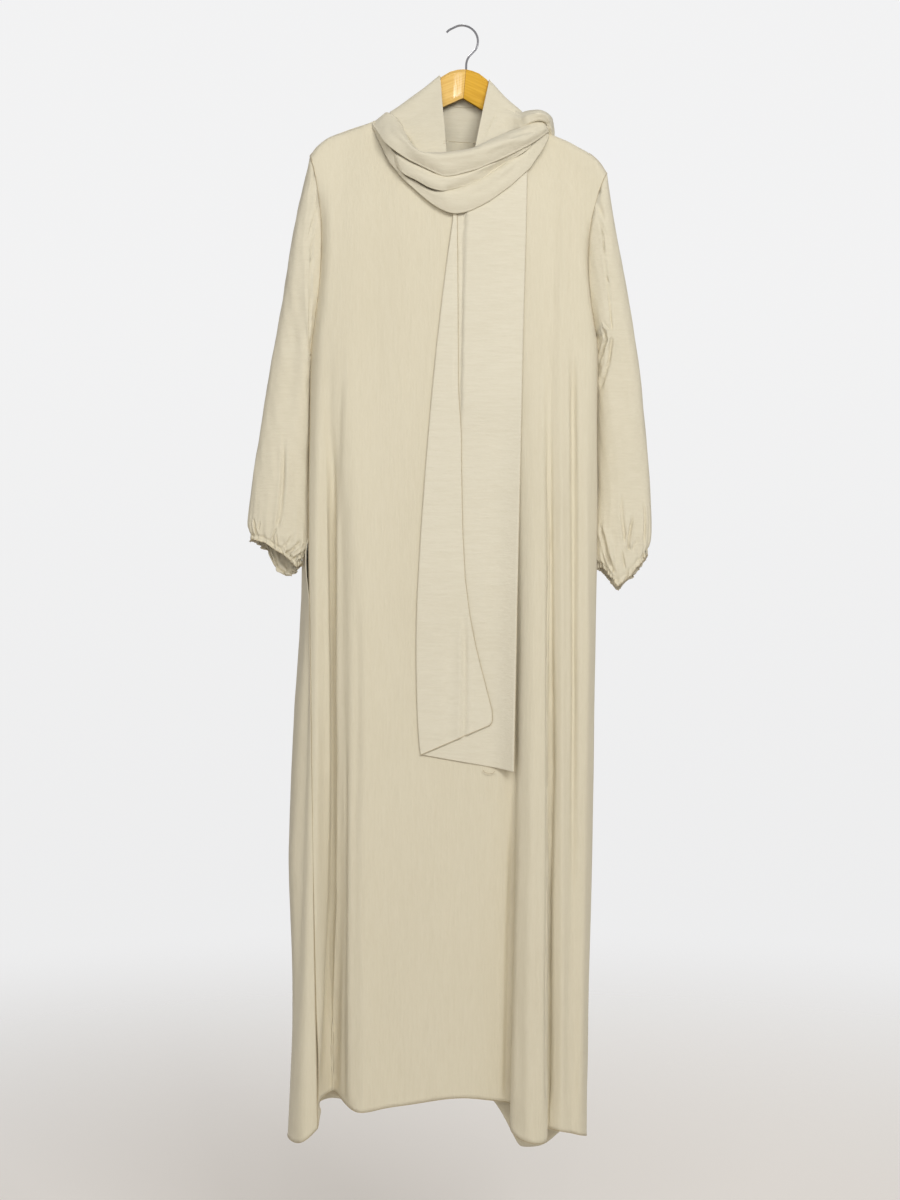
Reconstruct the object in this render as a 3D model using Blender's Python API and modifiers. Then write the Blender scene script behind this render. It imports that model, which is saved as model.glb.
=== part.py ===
"""An abaya hung on a wooden hanger, with the scarf that is sewn to its neck wound round once.

Metres, +Z up. The front faces -Y and +X is at the right of someone who looks at the front.
The origin is the inner top of the hanger's hook, where a rail or nail carries everything.
"""

import math
from collections import namedtuple

import bmesh
import bpy
from mathutils import Vector

# Driving dimensions
HANGER_SPAN = 0.420
HANGER_TILT = math.radians(3.6)
UNDERARM_Z = -0.468
HIP_Z = -0.775
CLOTH = 0.0020
SCARF_CLOTH = 0.0016
SEAM_GAP = 0.0003

# Wooden hanger
JOINT_X = 0.004
JOINT_Z = -0.064
ARM_THICKNESS = 0.012
ARM_SWEEP = 0.026
ARM_Y = -0.004
ARM_SECTIONS = 15
ARM_EDGE = 0.005
TIP_STATIONS = 1.5
TIP_BLUNTNESS = 0.35
STEM_X = 0.006
STEM_Y = -0.004
WIRE_RADIUS = 0.0016
HOOK_RADIUS = 0.0215
STEM_SOCKET_DEPTH = 0.014
STEM_CLEARANCE = 0.0003
STEM_STEP = 0.0064
HOOK_ANGLES = range(-32, 123, 17)
HOOK_TIP = ((-0.0187, -0.0052), (-0.0223, -0.0086))

ArmStation = namedtuple("ArmStation", "reach top bottom")
ARM_STATIONS = (
    ArmStation(0.000, -0.0640, -0.1060),
    ArmStation(0.005, -0.0644, -0.1085),
    ArmStation(0.018, -0.0672, -0.1150),
    ArmStation(0.034, -0.0780, -0.1240),
    ArmStation(0.052, -0.0985, -0.1340),
    ArmStation(0.070, -0.1160, -0.1450),
    ArmStation(0.100, -0.1395, -0.1650),
    ArmStation(0.132, -0.1570, -0.1850),
    ArmStation(0.167, -0.1735, -0.2040),
    ArmStation(0.188, -0.1840, -0.2150),
    ArmStation(0.202, -0.1980, -0.2205),
    ArmStation(HANGER_SPAN / 2, -0.2090, -0.2170),
)

# Body panels
SHOULDER_LIFT = 0.0038
SLOPE_STEP = 0.004
FALL_DEPTH = 0.130
CHEST_FRONT_Y = -0.047
CHEST_BACK_Y = 0.010
ARMHOLE_REACH = 0.060
NECK_HALF_WIDTH = 0.088
FRONT_NECK_BOTTOM = -0.222
BACK_NECK_BOTTOM = -0.168
COLUMN_WIDTH = 0.020
RIDGE_ROWS = (0.0, 0.010, 0.034, 0.070)
ROWS_TO_UNDERARM = 8
ROWS_TO_HIP = 3
ROWS_TO_HEM = 8
UNDERARM_ROW = ROWS_TO_UNDERARM + len(RIDGE_ROWS) - 1
EXACT = 1e-5

# A row for each line that runs down the cloth: along a seam, a fold's crest or the valley beside it.
# x and y at the shoulder, underarm, hip and hem; hem_z is where the line ends.
FoldLine = namedtuple("FoldLine", "top_x chest_x chest_y hip_x hip_y hem_x hem_y hem_z")
FRONT_LINES = {
    "left_seam": FoldLine(-0.2185, -0.2165, -0.024, -0.219, -0.036, -0.205, -0.054, -1.580),
    "left_turn": FoldLine(-0.206, -0.204, -0.041, -0.206, -0.046, -0.199, -0.036, -1.545),
    "left_valley": FoldLine(-0.192, -0.190, -0.045, -0.188, -0.030, -0.187, -0.006, -1.540),
    "second_edge": FoldLine(-0.177, -0.177, -0.047, -0.167, -0.045, -0.171, -0.038, -1.546),
    "second_crest": FoldLine(-0.158, -0.162, -0.048, -0.149, -0.054, -0.148, -0.062, -1.557),
    "left_slope": FoldLine(-0.120, -0.127, -0.047, -0.117, -0.050, -0.113, -0.054, -1.552),
    "left_neck": FoldLine(-NECK_HALF_WIDTH, -0.096, -0.047, -0.088, -0.049, -0.081, -0.050, -1.549),
    "left_collar": FoldLine(-0.080, -0.086, -0.047, -0.079, -0.049, -0.072, -0.049, -1.548),
    "middle": FoldLine(-0.004, -0.010, -0.047, -0.010, -0.047, -0.003, -0.042, -1.541),
    "middle_right": FoldLine(0.064, 0.059, -0.047, 0.060, -0.044, 0.048, -0.033, -1.548),
    "third_valley": FoldLine(0.080, 0.074, -0.047, 0.077, -0.042, 0.074, -0.024, -1.556),
    "third_edge": FoldLine(NECK_HALF_WIDTH, 0.085, -0.048, 0.085, -0.050, 0.066, -0.056, -1.583),
    "third_crest": FoldLine(0.108, 0.102, -0.049, 0.104, -0.057, 0.094, -0.080, -1.594),
    "third_far": FoldLine(0.130, 0.120, -0.047, 0.123, -0.053, 0.121, -0.066, -1.596),
    "fourth_valley": FoldLine(0.140, 0.128, -0.046, 0.127, -0.045, 0.119, -0.042, -1.584),
    "fourth_crest": FoldLine(0.152, 0.141, -0.049, 0.141, -0.054, 0.139, -0.053, -1.585),
    "fifth_valley": FoldLine(0.166, 0.158, -0.045, 0.159, -0.045, 0.155, -0.044, -1.590),
    "fifth_crest": FoldLine(0.180, 0.175, -0.044, 0.178, -0.048, 0.168, -0.042, -1.594),
    "right_edge": FoldLine(0.198, 0.190, -0.036, 0.194, -0.030, 0.179, -0.024, -1.600),
    "right_seam": FoldLine(0.2075, 0.195, -0.022, 0.192, -0.013, 0.175, -0.008, -1.600),
}
BACK_LINES = {
    "right_seam": FoldLine(0.2075, 0.195, -0.022, 0.192, -0.013, 0.175, -0.008, -1.600),
    "right_corner": FoldLine(0.197, 0.190, 0.001, 0.190, 0.006, 0.181, 0.011, -1.602),
    "right_crest": FoldLine(0.166, 0.168, 0.009, 0.166, 0.014, 0.152, 0.020, -1.600),
    "right_valley": FoldLine(0.130, 0.132, 0.009, 0.130, 0.008, 0.122, 0.000, -1.620),
    "inner_right_crest": FoldLine(NECK_HALF_WIDTH, 0.096, 0.010, 0.092, 0.014, 0.090, 0.018, -1.630),
    "right_collar": FoldLine(0.080, 0.086, 0.010, 0.082, 0.013, 0.080, 0.017, -1.622),
    "inner_right_valley": FoldLine(0.064, 0.056, 0.010, 0.052, 0.010, 0.046, 0.006, -1.556),
    "middle": FoldLine(0.000, 0.002, 0.010, 0.004, 0.013, 0.002, 0.018, -1.552),
    "inner_left_valley": FoldLine(-0.064, -0.056, 0.010, -0.052, 0.010, -0.050, 0.008, -1.553),
    "left_collar": FoldLine(-0.080, -0.090, 0.010, -0.088, 0.013, -0.088, 0.017, -1.556),
    "inner_left_crest": FoldLine(-NECK_HALF_WIDTH, -0.100, 0.010, -0.098, 0.014, -0.098, 0.018, -1.557),
    "left_valley": FoldLine(-0.136, -0.140, 0.010, -0.146, 0.010, -0.142, 0.008, -1.568),
    "left_crest": FoldLine(-0.174, -0.184, 0.010, -0.194, 0.015, -0.196, 0.018, -1.555),
    "left_corner": FoldLine(-0.198, -0.206, 0.003, -0.226, 0.010, -0.243, 0.000, -1.590),
    "left_side": FoldLine(-0.209, -0.213, -0.010, -0.220, -0.012, -0.250, -0.030, -1.600),
    "left_bulge": FoldLine(-0.214, -0.216, -0.018, -0.217, -0.026, -0.228, -0.061, -1.600),
    "left_seam": FoldLine(-0.2185, -0.2165, -0.024, -0.219, -0.036, -0.205, -0.054, -1.580),
}
Panel = namedtuple("Panel", "lines side neck_bottom neck_roundness bulge")
LEFT_ARMHOLE_HOLLOW = 0.017
RIGHT_ARMHOLE_HOLLOW = 0.021
ARMHOLE_FRONT_BULGE = 0.008
ARMHOLE_BACK_BULGE = 0.020
ARMHOLE_SKEW = 0.8
CORNER_LEAN = 0.8
NECK_CORNER_REACH = 0.005
NECK_CORNER_ROUNDNESS = 1.9
FRONT = Panel(FRONT_LINES, -1, FRONT_NECK_BOTTOM, 1.3, ARMHOLE_FRONT_BULGE)
BACK = Panel(BACK_LINES, 1, BACK_NECK_BOTTOM, 2.4, ARMHOLE_BACK_BULGE)

# Sleeves: a row for each ring below the armhole, from the outer edge to the edge by the body
SLEEVE_POINTS = 4 * UNDERARM_ROW
RING_WIDTH_POWER = 0.85
RING_DEPTH_POWER = 0.75
CUFF_GATHER_DEPTH = 0.0022
CUFF_TILT = 0.007
SleeveRing = namedtuple("SleeveRing", "outer_x outer_z inner_x inner_z middle_y half_depth gather")
LEFT_SLEEVE = (
    SleeveRing(-0.229, -0.238, -0.2195, -0.474, -0.020, 0.023, 0.0),
    SleeveRing(-0.238, -0.284, -0.2205, -0.482, -0.018, 0.022, 0.0),
    SleeveRing(-0.249, -0.345, -0.2210, -0.500, -0.016, 0.021, 0.0),
    SleeveRing(-0.262, -0.418, -0.2215, -0.533, -0.014, 0.020, 0.0),
    SleeveRing(-0.276, -0.494, -0.2225, -0.583, -0.012, 0.019, 0.0),
    SleeveRing(-0.289, -0.572, -0.225, -0.637, -0.011, 0.019, 0.0),
    SleeveRing(-0.300, -0.648, -0.225, -0.690, -0.011, 0.019, 0.0),
    SleeveRing(-0.307, -0.706, -0.225, -0.735, -0.012, 0.019, 0.2),
    SleeveRing(-0.3085, -0.728, -0.225, -0.762, -0.013, 0.018, 0.7),
    SleeveRing(-0.306, -0.741, -0.229, -0.779, -0.014, 0.015, 1.0),
    SleeveRing(-0.305, -0.749, -0.231, -0.788, -0.014, 0.016, 1.0),
)
RIGHT_SLEEVE = (
    SleeveRing(0.214, -0.262, 0.200, -0.474, -0.020, 0.023, 0.0),
    SleeveRing(0.225, -0.315, 0.204, -0.482, -0.018, 0.022, 0.0),
    SleeveRing(0.236, -0.379, 0.206, -0.502, -0.016, 0.021, 0.0),
    SleeveRing(0.248, -0.451, 0.206, -0.540, -0.014, 0.020, 0.0),
    SleeveRing(0.258, -0.520, 0.205, -0.592, -0.012, 0.019, 0.0),
    SleeveRing(0.265, -0.590, 0.204, -0.645, -0.011, 0.019, 0.0),
    SleeveRing(0.270, -0.658, 0.203, -0.698, -0.011, 0.019, 0.0),
    SleeveRing(0.273, -0.720, 0.202, -0.748, -0.012, 0.019, 0.2),
    SleeveRing(0.272, -0.748, 0.203, -0.778, -0.013, 0.018, 0.7),
    SleeveRing(0.269, -0.764, 0.208, -0.797, -0.014, 0.015, 1.0),
    SleeveRing(0.267, -0.772, 0.210, -0.806, -0.014, 0.016, 1.0),
)

# Scarf: the hood that stands over the hanger's arms
HoodMark = namedtuple("HoodMark", "x lift")
HOOD_MARKS = (
    HoodMark(-0.104, 0.0034),
    HoodMark(-0.068, 0.0052),
    HoodMark(-0.032, 0.0000),
    HoodMark(0.040, 0.0000),
    HoodMark(0.062, 0.0012),
    HoodMark(0.086, 0.0034),
)
HOOD_FACE_LIFT = 0.012
HOOD_TUCK = 0.45
HOOD_OVERLAP = 0.006
HOOD_SEAM_LIFT = 0.0022
HOOD_SIDE_DROP = 0.030
HOOD_SET_BACK = 0.009
HOOD_FRONT_ROWS = (1.0, 0.78, 0.56, 0.36, 0.20, 0.09, 0.03, 0.007)
HOOD_BACK_ROWS = (0.0, 0.04, 0.12, 0.30, 0.60, 1.0)
HOOD_COLUMNS = 6
FACE_LEFT_TOP_X = -0.032
FACE_LEFT_BOTTOM_X = -0.021
FACE_RIGHT_TOP_X = 0.040
FACE_RIGHT_BOTTOM_X = 0.015
HOOD_SAG = 0.016

# Scarf: the three laps that cross the chest. u is the top lap's rolled edge, a, b and c the lower
# edges of the top, middle and bottom laps. lift grows from the shoulders to the middle.
LapStation = namedtuple("LapStation", "u_x u_z a_x a_z b_x b_z c_x c_z lift")
LAP_STATIONS = (
    LapStation(-0.106, -0.133, -0.117, -0.141, -0.125, -0.146, -0.133, -0.151, 0.52),
    LapStation(-0.093, -0.152, -0.112, -0.172, -0.118, -0.176, -0.121, -0.181, 0.66),
    LapStation(-0.077, -0.172, -0.096, -0.195, -0.106, -0.201, -0.108, -0.206, 0.86),
    LapStation(-0.062, -0.190, -0.066, -0.213, -0.084, -0.226, -0.090, -0.230, 1.00),
    LapStation(-0.042, -0.197, -0.040, -0.226, -0.052, -0.242, -0.060, -0.256, 1.00),
    LapStation(-0.014, -0.198, -0.020, -0.232, -0.024, -0.253, -0.028, -0.279, 1.00),
    LapStation(0.018, -0.191, 0.015, -0.224, 0.012, -0.243, 0.006, -0.284, 1.00),
    LapStation(0.050, -0.172, 0.049, -0.211, 0.046, -0.226, 0.046, -0.262, 1.00),
    LapStation(0.082, -0.157, 0.083, -0.194, 0.083, -0.201, 0.089, -0.226, 0.90),
    LapStation(0.102, -0.152, 0.104, -0.178, 0.106, -0.184, 0.111, -0.194, 0.70),
    LapStation(0.109, -0.151, 0.112, -0.166, 0.116, -0.170, 0.122, -0.177, 0.52),
    LapStation(0.111, -0.148, 0.116, -0.151, 0.121, -0.154, 0.128, -0.158, 0.46),
)
LAP_RIDGE_STEPS = (0.0, 0.03, 0.11, 0.28, 0.58)
FULL_LAP_HEIGHT = 0.020
Lap = namedtuple("Lap", "upper lower hidden deep out curl")
LAPS = {
    "scarf_lap_top": Lap("u", "a", 0.00, 0.0220, 0.0370, 0.0310),
    "scarf_lap_middle": Lap("a", "b", 0.30, 0.0160, 0.0250, 0.0205),
    "scarf_lap_bottom": Lap("b", "c", 0.30, 0.0085, 0.0150, 0.0105),
}
LAP_PROFILE = ((0.0, 0.0), (0.12, 0.55), (0.35, 0.88), (0.65, 1.0), (0.90, 0.98), (1.0, 0.9))

# Scarf: the roll on the right shoulder, read along its middle
RollStation = namedtuple("RollStation", "x y z radius")
ROLL_STATIONS = (
    RollStation(0.0765, -0.0800, -0.1640, 0.0046),
    RollStation(0.0880, -0.0750, -0.1560, 0.0060),
    RollStation(0.1020, -0.0640, -0.1500, 0.0068),
    RollStation(0.1160, -0.0520, -0.1495, 0.0066),
    RollStation(0.1230, -0.0420, -0.1565, 0.0060),
    RollStation(0.1255, -0.0331, -0.1668, 0.0050),
)
ROLL_OPENING = math.radians(70)
ROLL_COLUMNS = 9

# Scarf: the lap behind the neck
BackLapStation = namedtuple("BackLapStation", "upper_x upper_z lower_x lower_z")
BACK_LAP = (
    BackLapStation(-0.108, -0.147, -0.134, -0.163),
    BackLapStation(-0.084, -0.160, -0.112, -0.187),
    BackLapStation(-0.048, -0.174, -0.064, -0.213),
    BackLapStation(0.000, -0.182, 0.000, -0.226),
    BackLapStation(0.048, -0.178, 0.066, -0.220),
    BackLapStation(0.086, -0.170, 0.112, -0.202),
    BackLapStation(0.112, -0.163, 0.136, -0.183),
)
BACK_LAP_LIFT = 0.0060
BACK_LAP_EDGE = 0.75
BACK_LAP_COLUMNS = 4

# Scarf: the hanging end, folded along its left edge. A row for each level, from under the laps down
TailLevel = namedtuple("TailLevel", "free_x free_z fold_x fold_z right_x right_z")
TAIL_LEVELS = (
    TailLevel(-0.004, -0.262, -0.008, -0.262, 0.093, -0.204),
    TailLevel(-0.003, -0.334, -0.019, -0.334, 0.090, -0.330),
    TailLevel(-0.002, -0.473, -0.036, -0.473, 0.086, -0.473),
    TailLevel(-0.001, -0.652, -0.052, -0.652, 0.082, -0.652),
    TailLevel(0.004, -0.800, -0.063, -0.823, 0.078, -0.823),
    TailLevel(0.020, -0.900, -0.0645, -0.925, 0.076, -0.925),
    TailLevel(0.043, -0.990, -0.062, -1.013, 0.074, -1.020),
    TailLevel(0.040, -1.009, -0.0585, -1.051, 0.073, -1.075),
)
TAIL_ROW_STEPS = 2
TAIL_FRONT_COLUMNS = 4
TAIL_BACK_COLUMNS = 6
TAIL_CLOTH = 0.0012
TAIL_FOLD = 0.0012
TAIL_SPREAD = 0.012
TAIL_BACK_LIFT = 0.0011
TAIL_FRONT_LIFT = 0.0046

CLOTH_COLOUR = (0.69, 0.63, 0.50, 1.0)
SCARF_COLOUR = (0.70, 0.64, 0.51, 1.0)
WOOD_COLOUR = (0.78, 0.50, 0.14, 1.0)
STEEL_COLOUR = (0.62, 0.62, 0.64, 1.0)


def clear_scene():
    """Removes what a new file holds."""
    for obj in list(bpy.data.objects):
        bpy.data.objects.remove(obj)


def material(name, colour, roughness, metallic=0.0):
    """A Principled material with one colour."""
    made = bpy.data.materials.new(name)
    made.use_nodes = True
    shader = made.node_tree.nodes["Principled BSDF"]
    shader.inputs["Base Color"].default_value = colour
    shader.inputs["Roughness"].default_value = roughness
    shader.inputs["Metallic"].default_value = metallic
    return made


def collection(name):
    """A new collection in the scene."""
    made = bpy.data.collections.new(name)
    bpy.context.scene.collection.children.link(made)
    return made


def smooth_through(keys, values, at):
    """The value at a key, on a smooth curve through the values."""
    if at <= keys[0]:
        return values[0]
    if at >= keys[-1]:
        return values[-1]
    i = max(k for k in range(len(keys) - 1) if keys[k] <= at)

    def slope(k):
        a, b = max(k - 1, 0), min(k + 1, len(keys) - 1)
        return (values[b] - values[a]) * (1.0 / (keys[b] - keys[a]))

    width = keys[i + 1] - keys[i]
    t = (at - keys[i]) / width
    h00 = 2 * t**3 - 3 * t**2 + 1
    h10 = t**3 - 2 * t**2 + t
    h01 = 3 * t**2 - 2 * t**3
    h11 = t**3 - t**2
    return values[i] * h00 + slope(i) * (h10 * width) + values[i + 1] * h01 + slope(i + 1) * (h11 * width)


def resampled(points, steps):
    """A smooth line through the points, with each stretch between two points cut into its steps."""
    keys = [0.0]
    for a, b in zip(points, points[1:]):
        keys.append(keys[-1] + math.sqrt((b - a).length))
    counts = steps if isinstance(steps, list) else [steps] * (len(points) - 1)
    made = []
    for a, b, count in zip(keys, keys[1:], counts):
        made += [smooth_through(keys, points, a + (b - a) * k / count) for k in range(count)]
    return made + [points[-1]]


def quarter(share):
    """Rises from 0 to 1 as a quarter of an ellipse."""
    kept = 1 - min(max(share, 0.0), 1.0)
    return math.sqrt(1 - kept * kept)


def arm_marks():
    """The arms' stations on both sides of the joint, turned about it by the hanger's tilt."""
    marks = []
    for side, stations in ((-1, ARM_STATIONS[:0:-1]), (1, ARM_STATIONS)):
        for s in stations:
            turned = []
            for edge in (s.top, s.bottom):
                drop = edge - JOINT_Z
                x = JOINT_X + side * s.reach * math.cos(HANGER_TILT) + drop * math.sin(HANGER_TILT)
                z = JOINT_Z - side * s.reach * math.sin(HANGER_TILT) + drop * math.cos(HANGER_TILT)
                turned.append((x, z))
            y = ARM_Y - ARM_SWEEP * (s.reach / (HANGER_SPAN / 2)) ** 2
            marks.append((turned[0], turned[1], y))
    return marks


ARM_MARKS = arm_marks()


def arm_top(x):
    """Height of the arms' top edge."""
    return smooth_through([m[0][0] for m in ARM_MARKS], [m[0][1] for m in ARM_MARKS], x)


def arm_bottom(x):
    """Height of the arms' bottom edge."""
    return smooth_through([m[1][0] for m in ARM_MARKS], [m[1][1] for m in ARM_MARKS], x)


def arm_y(x):
    """Middle of the arm's thickness: the arms sweep forward towards their tips."""
    return smooth_through([m[0][0] for m in ARM_MARKS], [m[2] for m in ARM_MARKS], x)


def ridge_slope(x):
    """How steeply the arms' top edge rises to the right."""
    return (arm_top(x + SLOPE_STEP) - arm_top(x - SLOPE_STEP)) / (2 * SLOPE_STEP)


def shoulder_z(x):
    """Height of the garment's shoulder line: one lift off the arm, square to its slope."""
    past = max(0.0, ARM_MARKS[0][0][0] - x, x - ARM_MARKS[-1][0][0])
    return arm_top(x) + SHOULDER_LIFT * math.hypot(1, ridge_slope(x)) - past


def hang_y(x, z, side, lift=0.0, level_y=CHEST_FRONT_Y):
    """Where a sheet hangs, front (side -1) or back (side 1): round the arm's edge, then out to its level."""
    edge = ARM_THICKNESS / 2 + SHOULDER_LIFT + lift
    depth = shoulder_z(x) + lift - z
    near = arm_y(x) + side * edge * quarter(depth / edge)
    share = min(max(depth / FALL_DEPTH, 0.0), 1.0)
    return near + (level_y + side * lift - arm_y(x) - side * edge) * share * share * (3 - 2 * share)


def neck_z(x, bottom, roundness):
    """Height of the round neckline."""
    share = min(1.0, abs(x) / NECK_HALF_WIDTH)
    drop = (1 - share**roundness) ** NECK_CORNER_ROUNDNESS
    return bottom + (shoulder_z(math.copysign(NECK_HALF_WIDTH, x)) - bottom) * (1 - drop)


def dense_lines(lines):
    """The fold lines with more lines between them, so that no strip is wider than a column."""
    marks = [Vector(line) for line in lines.values()]
    steps = [max(2, round(abs(b[0] - a[0]) / COLUMN_WIDTH)) for a, b in zip(marks, marks[1:])]
    return [FoldLine(*mark) for mark in resampled(marks, steps)]


def line_point(line, share, panel, closeness):
    """A point on one fold line. share runs 0 at the top, 1 at the underarm, 2 at the hip and 3 at the hem."""
    top_z = shoulder_z(line.top_x)
    if abs(line.top_x) < NECK_HALF_WIDTH:
        top_z = min(top_z, neck_z(line.top_x, panel.neck_bottom, panel.neck_roundness))
    levels = (top_z, UNDERARM_Z, HIP_Z, line.hem_z)
    i = min(int(share), 2)
    z = levels[i] + (levels[i + 1] - levels[i]) * (share - i)
    depths = [-top_z, -UNDERARM_Z, -HIP_Z, -line.hem_z]
    x = smooth_through(depths, [line.top_x, line.chest_x, line.hip_x, line.hem_x], -z)
    if share >= 1:
        return Vector((x, smooth_through(depths[1:], [line.chest_y, line.hip_y, line.hem_y], -z), z))
    swell = math.sin(math.pi * share**ARMHOLE_SKEW)
    hollow = LEFT_ARMHOLE_HOLLOW if line.top_x < 0 else RIGHT_ARMHOLE_HOLLOW
    x -= math.copysign(hollow, line.top_x) * swell * closeness
    y = hang_y(line.top_x, z, panel.side, 0.0, line.chest_y)
    return Vector((x, y + panel.side * panel.bulge * swell * closeness**2, z))


def panel_rows(panel):
    """Rows of points down a panel, from its top edge to its hem."""
    lines = dense_lines(panel.lines)
    shares = list(RIDGE_ROWS) + [i / ROWS_TO_UNDERARM for i in range(1, ROWS_TO_UNDERARM)]
    shares += [1 + i / ROWS_TO_HIP for i in range(ROWS_TO_HIP)]
    shares += [2 + i / ROWS_TO_HEM for i in range(ROWS_TO_HEM + 1)]
    rows = []
    for share in shares:
        row = []
        for line in lines:
            seam_x = lines[0].top_x if line.top_x * lines[0].top_x > 0 else lines[-1].top_x
            closeness = max(0.0, 1 - abs(seam_x - line.top_x) / ARMHOLE_REACH)
            row.append(line_point(line, share, panel, closeness))
        rows.append(row)
    return rows


def beside(cells, at, closed):
    """The neighbours of a place in a row or column, as far as there are any."""
    count = len(cells)
    before, after = at - 1, at + 1
    if closed:
        before, after = before % count, after % count
    before = before if before >= 0 and cells[before] is not None else at
    after = after if after < count and cells[after] is not None else at
    return cells[before], cells[after]


def inward_directions(rows, closed=False):
    """For each point the unit vector that leads into the cloth, away from the outside."""
    made = []
    for i, row in enumerate(rows):
        line = []
        for j, point in enumerate(row):
            if point is None:
                line.append(None)
                continue
            above, below = beside([other[j] for other in rows], i, False)
            left, right = beside(row, j, closed)
            line.append((right - left).cross(below - above).normalized())
        made.append(line)
    return made


def sheet(name, rows, inwards, thickness, finish, home, closed=False):
    """A cloth wall: a loft through the rows of points, with the same loft moved inwards as its back."""
    mesh = bpy.data.meshes.new(name)
    shape = bmesh.new()
    outer = [[shape.verts.new(p) if p is not None else None for p in row] for row in rows]
    inner = {}
    for row, ways in zip(outer, inwards):
        for vert, way in zip(row, ways):
            if vert is not None:
                inner[vert] = shape.verts.new(vert.co + way * thickness)
    fronts = []
    for upper, lower in zip(outer, outer[1:]):
        pairs = list(zip(range(len(upper) - 1), range(1, len(upper))))
        if closed:
            pairs.append((len(upper) - 1, 0))
        for a, b in pairs:
            corners = [upper[a], lower[a], lower[b], upper[b]]
            if None not in corners:
                fronts.append(shape.faces.new(corners))
    rims = []
    for face in fronts:
        for corner in face.loops:
            if corner.edge.is_boundary:
                rims.append((corner.vert, corner.link_loop_next.vert))
    for face in fronts:
        first, *others = face.verts
        shape.faces.new([inner[v] for v in [first] + others[::-1]])
    for a, b in rims:
        shape.faces.new((b, a, inner[a], inner[b]))
    bmesh.ops.delete(shape, geom=[v for v in shape.verts if not v.link_faces], context="VERTS")
    shape.to_mesh(mesh)
    shape.free()
    mesh.shade_smooth()
    mesh.materials.append(finish)
    made = bpy.data.objects.new(name, mesh)
    home.objects.link(made)
    return made


def mitre(ways_a, at_a, ways_b, at_b):
    """Gives two sheets that meet the same way into the cloth, unless they meet back to back."""
    mean = ways_a[at_a] + ways_b[at_b]
    if mean.length > 1.1:
        ways_a[at_a] = ways_b[at_b] = mean.normalized()


def ring_points(ring, turn):
    """One ring of a sleeve, from its outer edge round to the edge by the body and back."""
    outer = Vector((ring.outer_x, 0.0, ring.outer_z))
    inner = Vector((ring.inner_x, 0.0, ring.inner_z))
    centre = (outer + inner) / 2
    half = (outer - inner) / 2
    points = []
    for i in range(SLEEVE_POINTS):
        angle = 2 * math.pi * i / SLEEVE_POINTS
        across = math.copysign(abs(math.cos(angle)) ** RING_WIDTH_POWER, math.cos(angle))
        along = turn * math.copysign(abs(math.sin(angle)) ** RING_DEPTH_POWER, math.sin(angle))
        wave = ring.gather * CUFF_GATHER_DEPTH * (1 if i % 2 else -1)
        point = centre + half * across * (1 + wave / half.length)
        point.y = ring.middle_y + along * (ring.half_depth + wave)
        point.z -= along * ring.gather * CUFF_TILT
        points.append(point)
    return points


def edge_place(row, end):
    """The place one seam gap beyond a panel's edge."""
    other = 1 if end == 0 else -2
    return row[end] + (row[end] - row[other]).normalized() * SEAM_GAP


def armhole_ring(first, second, side):
    """The sleeve's first ring, beside the armhole: down one panel's edge and up the other's."""
    loop = [edge_place(first[i], 0) for i in range(UNDERARM_ROW)]
    loop.append(first[UNDERARM_ROW][0] + Vector((side * 2 * SEAM_GAP, 0.0, 0.0)))
    loop += [edge_place(second[i], -1) for i in range(UNDERARM_ROW - 1, 0, -1)]
    points = []
    for a, b in zip(loop, loop[1:] + loop[:1]):
        points += [a, (a + b) / 2]
    return points


def sew(ways, first_ways, second_ways):
    """Mitres a sleeve's first ring with the two panels' armhole edges."""
    ways[0] = first_ways[0][0]
    for i in range(1, UNDERARM_ROW):
        mitre(ways, 2 * i, first_ways[i], 0)
        mitre(ways, SLEEVE_POINTS - 2 * i, second_ways[i], -1)
    for i in range(1, SLEEVE_POINTS, 2):
        ways[i] = (ways[i - 1] + ways[(i + 1) % SLEEVE_POINTS]) / 2


def make_gown(finish, home):
    """Front and back, each cut in one piece from shoulder to hem, and the two sleeves set in."""
    front, back = panel_rows(FRONT), panel_rows(BACK)
    front_ways, back_ways = inward_directions(front), inward_directions(back)
    for rows, ways, side in ((front, front_ways, -1), (back, back_ways, 1)):
        for j, point in enumerate(rows[0]):
            if abs(point.x) > NECK_HALF_WIDTH - EXACT:
                ways[0][j] = Vector((ridge_slope(point.x), 0.0, -1.0)).normalized()
            elif abs(point.x) > NECK_HALF_WIDTH - NECK_CORNER_REACH:
                ways[0][j] = Vector((0.0, -side, -1.0)).normalized()
        for corner in (0, -1):
            ways[0][corner] = Vector((math.copysign(CORNER_LEAN, -rows[0][corner].x), 0.0, -1.0)).normalized()
    for i in range(UNDERARM_ROW, len(front)):
        mitre(front_ways[i], 0, back_ways[i], -1)
        mitre(front_ways[i], -1, back_ways[i], 0)
    for point in back[0]:
        point.y += SEAM_GAP
    for name, table, first, first_ways, second, second_ways, side in (
        ("sleeve_left", LEFT_SLEEVE, front, front_ways, back, back_ways, -1),
        ("sleeve_right", RIGHT_SLEEVE, back, back_ways, front, front_ways, 1),
    ):
        rows = [armhole_ring(first, second, side)] + [ring_points(ring, side) for ring in table]
        ways = inward_directions(rows, closed=True)
        sew(ways[0], first_ways, second_ways)
        sheet(name, rows, ways, CLOTH, finish, home, closed=True)
    for row in back[UNDERARM_ROW:]:
        for end, other in ((0, 1), (-1, -2)):
            row[end] = row[end] + (row[other] - row[end]).normalized() * SEAM_GAP
    sheet("front", front, front_ways, CLOTH, finish, home)
    sheet("back", back, back_ways, CLOTH, finish, home)
    return front, back


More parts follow.
